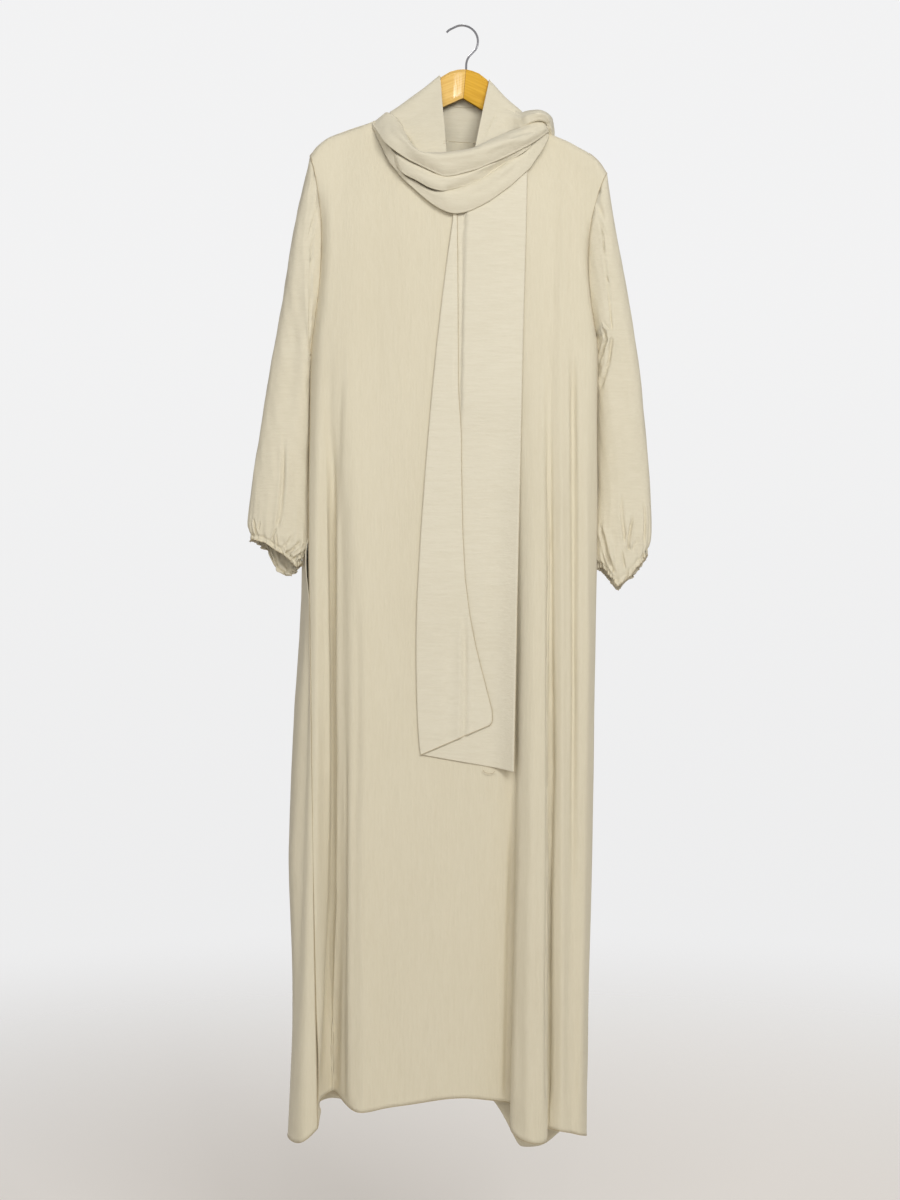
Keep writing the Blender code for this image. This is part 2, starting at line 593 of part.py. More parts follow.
def row_at(row, x):
    """Where a row of points lies at x: its y and its height."""
    for a, b in zip(row, row[1:]):
        if a.x <= x <= b.x or b.x <= x <= a.x:
            share = 0.5 if a.x == b.x else (x - a.x) / (b.x - a.x)
            return a.y + (b.y - a.y) * share, a.z + (b.z - a.z) * share
    return None


def lay(name, rows, thickness, finish, home):
    """A cloth wall: an open loft through the rows of points, thickened inwards."""
    mesh = bpy.data.meshes.new(name)
    shape = bmesh.new()
    grid = [[shape.verts.new(p) if p is not None else None for p in row] for row in rows]
    for upper, lower in zip(grid, grid[1:]):
        for a in range(len(upper) - 1):
            corners = [upper[a], lower[a], lower[a + 1], upper[a + 1]]
            if None not in corners:
                shape.faces.new(corners)
    bmesh.ops.delete(shape, geom=[v for v in shape.verts if not v.link_faces], context="VERTS")
    shape.to_mesh(mesh)
    shape.free()
    mesh.shade_smooth()
    mesh.materials.append(finish)
    made = bpy.data.objects.new(name, mesh)
    home.objects.link(made)
    wall = made.modifiers.new("Cloth wall", "SOLIDIFY")
    wall.thickness = thickness
    wall.offset = -1.0
    return made


def lap_edge(name, x):
    """Height of one of the laps' edges."""
    xs = [getattr(s, name + "_x") for s in LAP_STATIONS]
    return smooth_through(xs, [getattr(s, name + "_z") for s in LAP_STATIONS], x)


def hood_lift(x):
    """How far the hood stands above the shoulder line."""
    return smooth_through([m.x for m in HOOD_MARKS], [m.lift for m in HOOD_MARKS], x)


def hood_top(x):
    """Height of the hood's crest: over the arms, and slack between the two sides of the face opening."""
    if FACE_LEFT_TOP_X < x < FACE_RIGHT_TOP_X:
        across = (x - FACE_LEFT_TOP_X) / (FACE_RIGHT_TOP_X - FACE_LEFT_TOP_X)
        ends = [shoulder_z(e) + hood_lift(e) for e in (FACE_LEFT_TOP_X, FACE_RIGHT_TOP_X)]
        return ends[0] + (ends[1] - ends[0]) * across - HOOD_SAG * math.sin(math.pi * across)
    return shoulder_z(x) + hood_lift(x)


def hood_front(x, share):
    """A point on one of the hood's front sides, from its crest to where the top lap hides it."""
    face_x, bottom_x, outer_x = FACE_LEFT_TOP_X, FACE_LEFT_BOTTOM_X, HOOD_MARKS[0].x
    if x > 0:
        face_x, bottom_x, outer_x = FACE_RIGHT_TOP_X, FACE_RIGHT_BOTTOM_X, HOOD_MARKS[-1].x
    closeness = (x - outer_x) / (face_x - outer_x)
    low_x = x + (bottom_x - face_x) * closeness
    low_z = (1 - HOOD_TUCK) * lap_edge("u", low_x) + HOOD_TUCK * lap_edge("a", low_x)
    z = hood_top(x) + (low_z - hood_top(x)) * share
    y = hang_y(x, z, -1, hood_lift(x)) - HOOD_FACE_LIFT * closeness * math.sin(math.pi / 2 * share)
    return Vector((x + (low_x - x) * share, y, z))


def hood_back(x, share, neck_edge):
    """A point on the hood behind the hanger, from its crest down to just below the back neckline."""
    top = hood_top(x)
    low = top - HOOD_SIDE_DROP
    if abs(x) < NECK_HALF_WIDTH:
        low = min(low, row_at(neck_edge, x)[1] - HOOD_OVERLAP)
    z = top + (low - top) * share
    if FACE_LEFT_TOP_X < x < FACE_RIGHT_TOP_X:
        return Vector((x, hang_y(x, z, 1, HOOD_SEAM_LIFT, CHEST_BACK_Y), z))
    face_x, outer_x = (FACE_LEFT_TOP_X, HOOD_MARKS[0].x) if x < 0 else (FACE_RIGHT_TOP_X, HOOD_MARKS[-1].x)
    closeness = (x - outer_x) / (face_x - outer_x)
    lift = hood_lift(x) + (HOOD_SEAM_LIFT - hood_lift(x)) * min(1.0, 2 * share)
    return Vector((x, max(hang_y(x, z, 1, lift, CHEST_BACK_Y), arm_y(x) + HOOD_SET_BACK * closeness**2), z))


def make_hood(neck_edge, finish, home):
    """The stretch that stands over both arms, sewn to the back neckline and open at the front."""
    spans = (
        (HOOD_MARKS[-1].x, FACE_RIGHT_TOP_X, HOOD_COLUMNS),
        (FACE_RIGHT_TOP_X, FACE_LEFT_TOP_X, HOOD_COLUMNS + 2),
        (FACE_LEFT_TOP_X, HOOD_MARKS[0].x, HOOD_COLUMNS),
    )
    columns = [a + (b - a) * i / count for a, b, count in spans for i in range(count)] + [HOOD_MARKS[0].x]
    rows = []
    for share in HOOD_FRONT_ROWS:
        row = []
        for x in columns:
            slack = FACE_LEFT_TOP_X + 1e-6 < x < FACE_RIGHT_TOP_X - 1e-6
            row.append(None if slack else hood_front(x, share))
        rows.append(row)
    rows += [[hood_back(x, share, neck_edge) for x in columns] for share in HOOD_BACK_ROWS]
    return lay("scarf_hood", rows, SCARF_CLOTH, finish, home)


def make_lap(name, lap, finish, home):
    """One lap across the chest: its upper edge tucked in deep, its lower edge curled back."""
    last = len(LAP_STATIONS) - 1
    places = list(LAP_RIDGE_STEPS) + [i / 2 for i in range(2, 2 * last - 1)]
    places += [last - step for step in LAP_RIDGE_STEPS[::-1]]
    edges = []
    for edge in (lap.upper, lap.lower):
        marks = [Vector((getattr(s, edge + "_x"), s.lift, getattr(s, edge + "_z"))) for s in LAP_STATIONS]
        edges.append([smooth_through(range(last + 1), marks, at) for at in reversed(places)])
    rows = []
    for upper, lower in zip(*edges):
        on_ridge = upper in (edges[0][0], edges[0][-1])
        start = upper + (upper - lower) * lap.hidden
        fullness = min(1.0, (lower - upper).length / FULL_LAP_HEIGHT)
        curl = lap.deep + (lap.out - lap.deep) * fullness + (lap.curl - lap.out) * fullness**2
        row = []
        for share, swell in LAP_PROFILE:
            point = start + (lower - start) * share
            lift = upper.y * (curl if share == 1.0 else lap.deep + (lap.out - lap.deep) * swell * fullness)
            if on_ridge:
                point.z = shoulder_z(point.x) + lift
            row.append(Vector((point.x, hang_y(point.x, point.z, -1, lift), point.z)))
        rows.append(row)
    return lay(name, rows, SCARF_CLOTH, finish, home)


def make_roll(finish, home):
    """The lap's end, rolled over itself on the right shoulder: an open roll."""
    path = resampled([Vector((s.x, s.y, s.z)) for s in ROLL_STATIONS], 2)
    radii = resampled([Vector((s.radius, 0.0, 0.02 * i)) for i, s in enumerate(ROLL_STATIONS)], 2)
    rows = []
    for i, centre in enumerate(path):
        along = (path[min(i + 1, len(path) - 1)] - path[max(i - 1, 0)]).normalized()
        side = along.cross(Vector((0.0, 0.0, 1.0))).normalized()
        up = side.cross(along).normalized()
        row = []
        for k in range(ROLL_COLUMNS + 1):
            angle = -math.pi / 2 + ROLL_OPENING / 2 + (2 * math.pi - ROLL_OPENING) * k / ROLL_COLUMNS
            row.append(centre + (side * math.cos(angle) + up * math.sin(angle)) * radii[i].x)
        rows.append(row)
    return lay("scarf_roll", rows, SCARF_CLOTH, finish, home)


def make_back_lap(finish, home):
    """The lap behind the neck, from one shoulder to the other."""
    uppers = resampled([Vector((s.upper_x, 0.0, s.upper_z)) for s in BACK_LAP], 2)
    lowers = resampled([Vector((s.lower_x, 0.0, s.lower_z)) for s in BACK_LAP], 2)
    rows = []
    for upper, lower in zip(uppers, lowers):
        row = []
        for k in range(BACK_LAP_COLUMNS + 1):
            point = upper + (lower - upper) * k / BACK_LAP_COLUMNS
            swell = math.sin(math.pi * k / BACK_LAP_COLUMNS)
            lift = BACK_LAP_LIFT * (BACK_LAP_EDGE + (1 - BACK_LAP_EDGE) * swell)
            point.y = hang_y(point.x, point.z, 1, lift, CHEST_BACK_Y)
            row.append(point)
        rows.append(row)
    return lay("scarf_lap_back", rows, SCARF_CLOTH, finish, home)


def front_at(rows, x, z):
    """The y of the front panel at a place."""
    marks = [mark for mark in (row_at(row, x) for row in rows) if mark]
    for (y0, z0), (y1, z1) in zip(marks, marks[1:]):
        if z1 <= z <= z0:
            return y0 + (y1 - y0) * (z0 - z) / max(z0 - z1, 1e-6)
    return marks[0][0] if z > marks[0][1] else marks[-1][0]


def tail_row(at):
    """One row of the hanging end, from its right edge round the fold to its free edge. y is the lift."""
    levels = [Vector(level) for level in TAIL_LEVELS]
    free_x, free_z, fold_x, fold_z, right_x, right_z = smooth_through(range(len(levels)), levels, at)
    right = Vector((right_x, TAIL_BACK_LIFT, right_z))
    back_fold = Vector((fold_x, TAIL_BACK_LIFT, fold_z))
    turn = Vector((fold_x - TAIL_FOLD, (TAIL_FRONT_LIFT + TAIL_BACK_LIFT) / 2, fold_z))
    front_fold = Vector((fold_x, TAIL_FRONT_LIFT, fold_z))
    free = Vector((free_x, TAIL_FRONT_LIFT, free_z))
    row = [right.lerp(back_fold, k / TAIL_BACK_COLUMNS) for k in range(TAIL_BACK_COLUMNS + 1)]
    front = [front_fold.lerp(free, k / TAIL_FRONT_COLUMNS) for k in range(TAIL_FRONT_COLUMNS + 1)]
    return row + [turn] + front


def make_tail(front_rows, finish, home):
    """The hanging end, folded in two along its left edge, on the front panel."""
    rows = [tail_row(step / TAIL_ROW_STEPS) for step in range((len(TAIL_LEVELS) - 1) * TAIL_ROW_STEPS + 1)]
    for row in rows:
        for point in row:
            sides = (point.x - TAIL_SPREAD, point.x, point.x + TAIL_SPREAD)
            heights = (point.z - TAIL_SPREAD, point.z)
            under = min(front_at(front_rows, x, z) for x in sides for z in heights)
            point.y = under - point.y
    return lay("scarf_tail", rows, TAIL_CLOTH, finish, home)


def make_arms(finish, home):
    """The two wooden arms in one piece, lofted through rounded sections."""
    count = 2 * ARM_SECTIONS
    keys = [float(i) for i in range(len(ARM_MARKS))]
    top_xs = [top[0] for top, bottom, y in ARM_MARKS]
    bottom_xs = [bottom[0] for top, bottom, y in ARM_MARKS]
    mesh = bpy.data.meshes.new("hanger_arms")
    shape = bmesh.new()
    rings = []
    for i in range(count + 1):
        at = keys[-1] * i / count
        top_x, bottom_x = smooth_through(keys, top_xs, at), smooth_through(keys, bottom_xs, at)
        top = Vector((top_x, arm_y(top_x), arm_top(top_x)))
        bottom = Vector((bottom_x, arm_y(top_x), arm_bottom(bottom_x)))
        rounding = quarter((min(at, keys[-1] - at) + TIP_BLUNTNESS) / TIP_STATIONS)
        middle = (top + bottom) / 2
        top, bottom = middle + (top - middle) * rounding, middle + (bottom - middle) * rounding
        height = (top - bottom).length
        edge = min(ARM_EDGE, height / 3) / height
        ring = []
        right = ((0.3, 0.0), (1.0, edge), (1.0, 1 - edge), (0.45, 1.0))
        for across, down in right + tuple((-across, down) for across, down in right[::-1]):
            place = top + (bottom - top) * down
            place.y += across * rounding * ARM_THICKNESS / 2
            ring.append(shape.verts.new(place))
        rings.append(ring)
    for a, b in zip(rings, rings[1:]):
        for k in range(len(a)):
            n = (k + 1) % len(a)
            shape.faces.new((a[k], a[n], b[n], b[k]))
    shape.faces.new(rings[0][::-1])
    shape.faces.new(rings[-1])
    bmesh.ops.recalc_face_normals(shape, faces=shape.faces)
    shape.to_mesh(mesh)
    shape.free()
    mesh.materials.append(finish)
    arms = bpy.data.objects.new("hanger_arms", mesh)
    home.objects.link(arms)
    return arms


def make_hook(finish, home):
    """The bent wire: a stem in the wood, a sweep to the right, a round top and a turned-out tip."""
    centre = Vector((0.0, 0.0, -HOOK_RADIUS))
    turn = HOOK_RADIUS + WIRE_RADIUS
    foot = arm_top(STEM_X) - STEM_SOCKET_DEPTH + STEM_CLEARANCE
    path = [Vector((STEM_X, STEM_Y, foot + STEM_STEP * i)) for i in range(4)]
    path.append(Vector((STEM_X + 0.0008, STEM_Y * 0.6, -0.0515)))
    path.append(Vector((STEM_X + 0.0042, STEM_Y * 0.3, -0.0440)))
    for degrees in HOOK_ANGLES:
        angle = math.radians(degrees)
        path.append(centre + Vector((math.cos(angle), 0.0, math.sin(angle))) * turn)
    path += [Vector((x, 0.0, z)) for x, z in HOOK_TIP]
    curve = bpy.data.curves.new("hanger_hook", "CURVE")
    curve.dimensions = "3D"
    curve.bevel_depth = WIRE_RADIUS
    curve.bevel_resolution = 2
    curve.use_fill_caps = True
    line = curve.splines.new("POLY")
    points = resampled(path, 2)
    line.points.add(len(points) - 1)
    for spot, place in zip(line.points, points):
        spot.co = (*place, 1.0)
    curve.materials.append(finish)
    hook = bpy.data.objects.new("hanger_hook", curve)
    home.objects.link(hook)
    return hook


def cut_socket(arms, home):
    """The blind hole that takes the hook's stem."""
    bpy.ops.mesh.primitive_cylinder_add(
        vertices=16,
        radius=WIRE_RADIUS + STEM_CLEARANCE,
        depth=2 * STEM_SOCKET_DEPTH,
        location=(STEM_X, STEM_Y, arm_top(STEM_X)),
    )
    cutter = bpy.context.object
    cutter.name = "stem_socket_cutter"
    for other in list(cutter.users_collection):
        other.objects.unlink(cutter)
    home.objects.link(cutter)
    cutter.hide_render = True
    cutter.display_type = "WIRE"
    cut = arms.modifiers.new("Stem socket", "BOOLEAN")
    cut.operation = "DIFFERENCE"
    cut.object = cutter


def main():
    clear_scene()
    parts = collection("abaya")
    cutters = collection("cutters")
    cloth = material("abaya_crepe", CLOTH_COLOUR, 0.85)
    scarf = material("scarf_crepe", SCARF_COLOUR, 0.85)
    wood = material("varnished_wood", WOOD_COLOUR, 0.25)
    steel = material("plated_steel", STEEL_COLOUR, 0.2, 1.0)
    front, back = make_gown(cloth, parts)
    make_hood(back[0], scarf, parts)
    for name, lap in LAPS.items():
        make_lap(name, lap, scarf, parts)
    make_roll(scarf, parts)
    make_back_lap(scarf, parts)
    make_tail(front, scarf, parts)
    arms = make_arms(wood, parts)
    cut_socket(arms, cutters)
    make_hook(steel, parts)


main()
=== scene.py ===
"""An abaya of sand-coloured crinkle crepe on a wooden hanger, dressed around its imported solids.

Metres, +Z up, the front towards -Y, the origin under the bend of the hanger's hook. Each section is
a piece of the garment or of its hanger, in the order in which they are put together.
"""

import math

import bmesh
import bpy
import numpy as np
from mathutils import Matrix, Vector, noise
from mathutils.bvhtree import BVHTree


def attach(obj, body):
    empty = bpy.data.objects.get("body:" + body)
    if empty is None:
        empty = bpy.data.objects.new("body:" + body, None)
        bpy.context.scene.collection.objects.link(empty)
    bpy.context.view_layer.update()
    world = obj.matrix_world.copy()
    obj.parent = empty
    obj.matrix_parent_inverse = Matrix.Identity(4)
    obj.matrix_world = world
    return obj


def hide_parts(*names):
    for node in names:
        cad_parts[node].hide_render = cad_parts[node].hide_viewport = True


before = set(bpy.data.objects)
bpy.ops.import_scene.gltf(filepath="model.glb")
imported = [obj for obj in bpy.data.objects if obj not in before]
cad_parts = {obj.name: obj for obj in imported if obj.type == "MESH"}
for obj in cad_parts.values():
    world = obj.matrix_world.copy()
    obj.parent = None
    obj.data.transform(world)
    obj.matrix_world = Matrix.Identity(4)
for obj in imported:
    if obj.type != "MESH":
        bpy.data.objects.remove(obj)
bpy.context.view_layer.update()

# Camera
# A level camera at the height of the garment's middle, in front of it. The places measured on the
# picture, in pixels, are turned into the part's metres through it.
CAMERA_PLACE = (-0.0174, -2.4167, -0.8316)
CAMERA_LENS = 50
PICTURE_MIDDLE = (450, 600)
PIXEL = 0.00145


def seen(points, y):
    """Points of the picture, in pixels, as x and z on the plane at depth y."""
    scale = PIXEL * (1 - y / CAMERA_PLACE[1])
    return [
        (CAMERA_PLACE[0] + (px - PICTURE_MIDDLE[0]) * scale, CAMERA_PLACE[2] - (py - PICTURE_MIDDLE[1]) * scale)
        for px, py in points
    ]


def picture_places(co):
    """The picture's pixels at which points of the part are seen."""
    scale = PIXEL * (1 - co[:, 1] / CAMERA_PLACE[1])
    px = PICTURE_MIDDLE[0] + (co[:, 0] - CAMERA_PLACE[0]) / scale
    py = PICTURE_MIDDLE[1] - (co[:, 2] - CAMERA_PLACE[2]) / scale
    return px, py


camera_data = bpy.data.cameras.new("camera")
camera_data.lens = CAMERA_LENS
camera = bpy.data.objects.new("camera", camera_data)
camera.location = CAMERA_PLACE
camera.rotation_euler = (math.radians(90), 0, 0)
bpy.context.scene.collection.objects.link(camera)
bpy.context.scene.camera = camera

# Front panel
# One cut of crinkle crepe, 0.4 mm thick, sewn to the back down both sides and to the sleeves round the
# armholes. It hangs in soft pleats that start below the bust and open towards the hem.
CLOTH_WALL = 0.002
CLOTH_THICKNESS = 0.0008
RIM_WIDTH = 1.05
WALL_REACH = 1.15
SAME_PLACE = 1e-5
FRONT_LOOKS = (0, -1, 0)
FRONT_Y = -0.047
WAVES = 9
# heights between which a panel's cells are cut shorter, and the cuts
PANEL_CELLS = (((-2.0, -0.47), 3), ((-0.47, -0.2), 1))
# columns of the picture that hold narrow folds: left, right and top
FRONT_FINE = ((324, 350, 380), (543, 553, 560), (570, 577, 330))
SEAM_RADIUS = 0.0005


def opened(piece):
    """A copy of the piece's mesh that can be changed."""
    shape = bmesh.new()
    shape.from_mesh(piece.data)
    return shape


def new_piece(name, shape):
    mesh = bpy.data.meshes.new(name)
    shape.to_mesh(mesh)
    shape.free()
    piece = bpy.data.objects.new(name, mesh)
    bpy.context.scene.collection.objects.link(piece)
    return piece


def outer_skin(node, name, wall, looks=None, by_edges=False):
    """A new object from the outer face of a node's cloth wall, in one layer of quads."""
    shape = opened(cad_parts[node])
    bmesh.ops.remove_doubles(shape, verts=shape.verts, dist=SAME_PLACE)
    shape.normal_update()
    tree = BVHTree.FromBMesh(shape)
    faces = {}
    for face in shape.faces:
        if by_edges:
            # the faces of a rim are no wider than the wall
            kept = min(edge.calc_length() for edge in face.edges) > wall * RIM_WIDTH
        else:
            # the wall's other side lies right behind a face that is kept
            start = face.calc_center_median() - face.normal * SAME_PLACE
            hit, normal, _, _ = tree.ray_cast(start, -face.normal, wall * WALL_REACH)
            kept = hit is not None and normal.dot(face.normal) < -0.8
        if kept:
            faces[face] = True
    parts = []
    while faces:
        part = [faces.popitem()[0]]
        for face in part:
            for edge in face.edges:
                part.extend(other for other in edge.link_faces if faces.pop(other, False))
        parts.append(part)
    parts = sorted(parts, key=len)[-2:]

    def area_that_looks(part):
        return sum((face.normal.dot(looks) if looks else 1) * face.calc_area() for face in part)

    skin = max(parts, key=area_that_looks)
    corners = {corner for face in skin for corner in face.verts}
    rest = [face for face in shape.faces if not all(corner in corners for corner in face.verts)]
    bmesh.ops.delete(shape, geom=rest, context="FACES")
    bmesh.ops.join_triangles(
        shape, faces=shape.faces, angle_face_threshold=math.radians(60), angle_shape_threshold=math.radians(120)
    )
    return new_piece(name, shape)


def split_edges(piece, chosen, cuts, smooth=0.0):
    """Cuts the chosen edges of a sheet, and its cells with them."""
    shape = opened(piece)
    edges = [edge for edge in shape.edges if chosen(edge)]
    bmesh.ops.subdivide_edges(shape, edges=edges, cuts=cuts, use_grid_fill=True, smooth=smooth)
    shape.to_mesh(piece.data)
    shape.free()


def cut_across(piece, steepness, cuts, reach=(-2.0, 0)):
    """Cuts the edges that run down, between two heights, so that long cells become shorter ones."""

    def runs_down(edge):
        line = edge.verts[1].co - edge.verts[0].co
        middle = (edge.verts[1].co + edge.verts[0].co) / 2
        return abs(line.z) > steepness * line.length and reach[0] < middle.z < reach[1]

    split_edges(piece, runs_down, cuts)


def only(piece):
    bpy.ops.object.select_all(action="DESELECT")
    bpy.context.view_layer.objects.active = piece
    piece.select_set(True)


def apply_modifier(piece, kind, **settings):
    only(piece)
    modifier = piece.modifiers.new(kind, kind)
    for key, value in settings.items():
        setattr(modifier, key, value)
    bpy.ops.object.modifier_apply(modifier=modifier.name)


def soften(piece, levels):
    apply_modifier(piece, "SUBSURF", levels=levels, render_levels=levels, boundary_smooth="PRESERVE_CORNERS")


def places(piece):
    count = len(piece.data.vertices)
    co = np.empty(count * 3)
    piece.data.vertices.foreach_get("co", co)
    normals = np.empty(count * 3, np.float32)
    piece.data.vertex_normals.foreach_get("vector", normals)
    return co.reshape(-1, 3), normals.reshape(-1, 3).astype(float)


def set_places(piece, co):
    piece.data.vertices.foreach_set("co", co.ravel())
    piece.data.update()


def along(points, path):
    """Distance of every point from a drawn line, and how far along the line that is, from 0 to 1."""
    path = np.array(path, float)
    starts, ends = path[:-1], path[1:]
    lengths = np.linalg.norm(ends - starts, axis=1)
    before = np.concatenate(([0.0], np.cumsum(lengths)))
    best = np.full(len(points), 1e9)
    share = np.zeros(len(points))
    for start, end, length, run in zip(starts, ends, lengths, before):
        way = (end - start) / length
        at = np.clip((points - start) @ way, 0, length)
        distance = np.linalg.norm(points - start - at[:, None] * way, axis=1)
        nearer = distance < best
        best[nearer] = distance[nearer]
        share[nearer] = (run + at[nearer]) / before[-1]
    return best, share


def ease(share):
    share = np.clip(share, 0, 1)
    return share * share * (3 - 2 * share)


def crease(piece, path, width, depth, fade, looks=FRONT_LOOKS, banks=0.35):
    """Presses a soft trough along a line of x and z, with low banks beside it. A negative depth raises it."""
    co, normals = places(piece)
    distance, share = along(co[:, (0, 2)], path)
    trough = np.exp(-(distance / width) ** 2) - banks * np.exp(-((distance - 1.9 * width) / width) ** 2)
    ends = ease(np.clip(share / fade[0], 0, 1) * np.clip((1 - share) / fade[1], 0, 1))
    facing = np.clip(normals @ np.array(looks, float) * 1.6, 0, 1)
    set_places(piece, co - normals * (depth * trough * ends * facing)[:, None])


def press(piece, creases, y, **settings):
    """Presses creases: points of the picture (x and z if y is None), width, depth and the fade at each end."""
    for path, width, depth, fade in creases:
        crease(piece, path if y is None else seen(path, y), width, depth, fade, **settings)


def uneven(piece, height, width, length, seed, way=(0, 0, 1)):
    """Low waves of no set shape, width across way and length along it, as in cloth that was worn."""
    co, normals = places(piece)
    draw = np.random.default_rng(seed)
    way = np.array(way, float)
    run = co @ way
    lift = np.zeros(len(co))
    for _ in range(WAVES):
        across = draw.normal(size=3)
        across -= (across @ way) * way
        across *= draw.uniform(0.5, 1.6) / np.linalg.norm(across)
        bend = draw.uniform(-1.2, 1.2)
        lift += np.sin(2 * math.pi * (co @ across / width + bend * run / length + draw.random()))
    set_places(piece, co + normals * (height * lift / math.sqrt(WAVES))[:, None])


def as_cloth(piece, material, thickness=CLOTH_THICKNESS):
    """Gives a finished layer its thickness, inwards, and its cloth."""
    apply_modifier(piece, "SOLIDIFY", thickness=thickness, offset=-1)
    bpy.ops.object.shade_smooth()
    piece.data.materials.append(material)


def new_material(name):
    """A new material, its tree of nodes and its main shader."""
    material = bpy.data.materials.new(name)
    material.use_nodes = True
    return material, material.node_tree, material.node_tree.nodes["Principled BSDF"]


def feed(tree, socket, value):
    """Gives a socket a plain value, or a link from the output of another node."""
    if isinstance(value, bpy.types.NodeSocket):
        tree.links.new(value, socket)
    else:
        socket.default_value = value


def shader_node(tree, kind, **sockets):
    """A node, new or given, with its named sockets fed."""
    node = tree.nodes.new("ShaderNode" + kind) if isinstance(kind, str) else kind
    for name, value in sockets.items():
        feed(tree, node.inputs[name.replace("_", " ")], value)
    return node


def maths(tree, operation, first, second):
    node = tree.nodes.new("ShaderNodeMath")
    node.operation = operation
    feed(tree, node.inputs[0], first)
    feed(tree, node.inputs[1], second)
    return node.outputs["Value"]


def colour_ramp(tree, value, stops):
    node = shader_node(tree, "ValToRGB", Fac=value)
    for number, (spot, colour) in enumerate(stops):
        stop = node.color_ramp.elements[number] if number < 2 else node.color_ramp.elements.new(spot)
        stop.position = spot
        stop.color = (*colour, 1)
    return node.outputs["Color"]


# how wide a wave is and how many times longer, in the crinkles, in the weave and in the cloudy tone
CREPE_LAYERS = ((0.003, 11), (0.0011, 6), (0.09, 2))


def crepe(name, light, dark, crinkle_along):
    """Crinkle crepe: fine crinkles along one way, over a dull weave, a little uneven in colour, with painted shade
    in their hollows.
    """
    material, tree, shader = new_material(name)
    spot = shader_node(tree, "TexCoord").outputs["Object"]
    layers = []
    for size, stretch in CREPE_LAYERS:
        scale = [1 / size] * 3
        scale["XYZ".index(crinkle_along)] /= stretch
        place = shader_node(tree, "Mapping", Vector=spot, Scale=scale).outputs["Vector"]
        waves = shader_node(tree, "TexNoise", Vector=place, Scale=1.0, Detail=2, Roughness=0.5, Distortion=0.3)
        layers.append(waves.outputs["Fac"])
    crinkle, weave, cloud = layers
    height = maths(tree, "ADD", maths(tree, "MULTIPLY", crinkle, 0.6), maths(tree, "MULTIPLY", weave, 0.4))
    # the colour follows the height of the crinkles and weave, darker where they sink in: painted shade in the
    # hollows, with some random unevenness from the cloudy noise
    hollow_shade_and_tone = maths(tree, "ADD", maths(tree, "MULTIPLY", height, 0.75), maths(tree, "MULTIPLY", cloud, 0.25))
    bump = shader_node(tree, "Bump", Strength=0.7, Distance=0.0009, Height=height)
    shader_node(
        tree, shader, Roughness=0.92, Specular_IOR_Level=0.25, Sheen_Weight=0.18, Sheen_Roughness=0.5,
        Normal=bump.outputs["Normal"], Base_Color=colour_ramp(tree, hollow_shade_and_tone, ((0.34, dark), (0.62, light))),
    )
    return material


def open_edges(piece, below=0):
    """The sheet's open edges below a height, as lines of places from end to end."""
    shape = opened(piece)
    left = {
        edge: True for edge in shape.edges if edge.is_boundary and all(corner.co.z < below for corner in edge.verts)
    }
    lines = []
    while left:
        edge, _ = left.popitem()
        line = list(edge.verts)
        for end in (-1, 0):
            while True:
                onward = [other for other in line[end].link_edges if other in left]
                if not onward:
                    break
                del left[onward[0]]
                corner = onward[0].other_vert(line[end])
                line.insert(len(line) if end else 0, corner)
        lines.append([corner.co.copy() for corner in line])
    shape.free()
    return lines


def seam_and_shade_cord(name, lines, radius, material):
    """A narrow seam, rolled hem or fold line along the lines, of the same cloth painted darker: painted shade along
    it.
    """
    curve = bpy.data.curves.new(name, "CURVE")
    curve.dimensions = "3D"
    curve.bevel_depth = radius
    curve.bevel_resolution = 1
    for line in lines:
        if len(line) < 3:
            continue
        closed = (line[0] - line[-1]).length < 1e-6
        line = line[:-1] if closed else line
        spline = curve.splines.new("POLY")
        spline.points.add(len(line) - 1)
        spline.use_cyclic_u = closed
        for point, place in zip(spline.points, line):
            point.co = (*place, 1)
    piece = bpy.data.objects.new(name, curve)
    bpy.context.scene.collection.objects.link(piece)
    only(piece)
    bpy.ops.object.convert(target="MESH")
    bpy.ops.object.shade_smooth()
    piece.data.materials.append(material)
    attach(piece, "root")


def laid_on(piece, points, steps=6):
    """A line through points of the picture, laid on the piece's side that faces the camera."""
    shape = opened(piece)
    tree = BVHTree.FromBMesh(shape)
    shape.free()
    camera_place = Vector(CAMERA_PLACE)
    line = []
    for (ax, ay), (bx, by) in zip(points, points[1:]):
        for step in range(steps + ((bx, by) == tuple(points[-1]))):
            t = step / steps
            (x, z), = seen([(ax + (bx - ax) * t, ay + (by - ay) * t)], 0)
            hit = tree.ray_cast(camera_place, (Vector((x, 0, z)) - camera_place).normalized())[0]
            if hit is not None:
                line.append(hit)
    return line


def finer_columns(piece, low, high, top):
    """Splits the columns between two uprights of the picture, so that narrow folds can be pressed there."""
    px, py = picture_places(places(piece)[0])
    inside = (px > low) & (px < high) & (py > top)

    def runs_across(edge):
        line = edge.verts[1].co - edge.verts[0].co
        return all(inside[corner.index] for corner in edge.verts) and abs(line.x) > 0.6 * line.length

    split_edges(piece, runs_across, 2)


gown_crepe = crepe("gown_crepe", (0.695, 0.634, 0.486), (0.66, 0.597, 0.448), "Z")
# the same crepe in a darker brown, for the seam cords: painted shade along the seams and hems
seam_shade_crepe = crepe("seam_shade_crepe", (0.5, 0.415, 0.27), (0.43, 0.345, 0.21), "X")

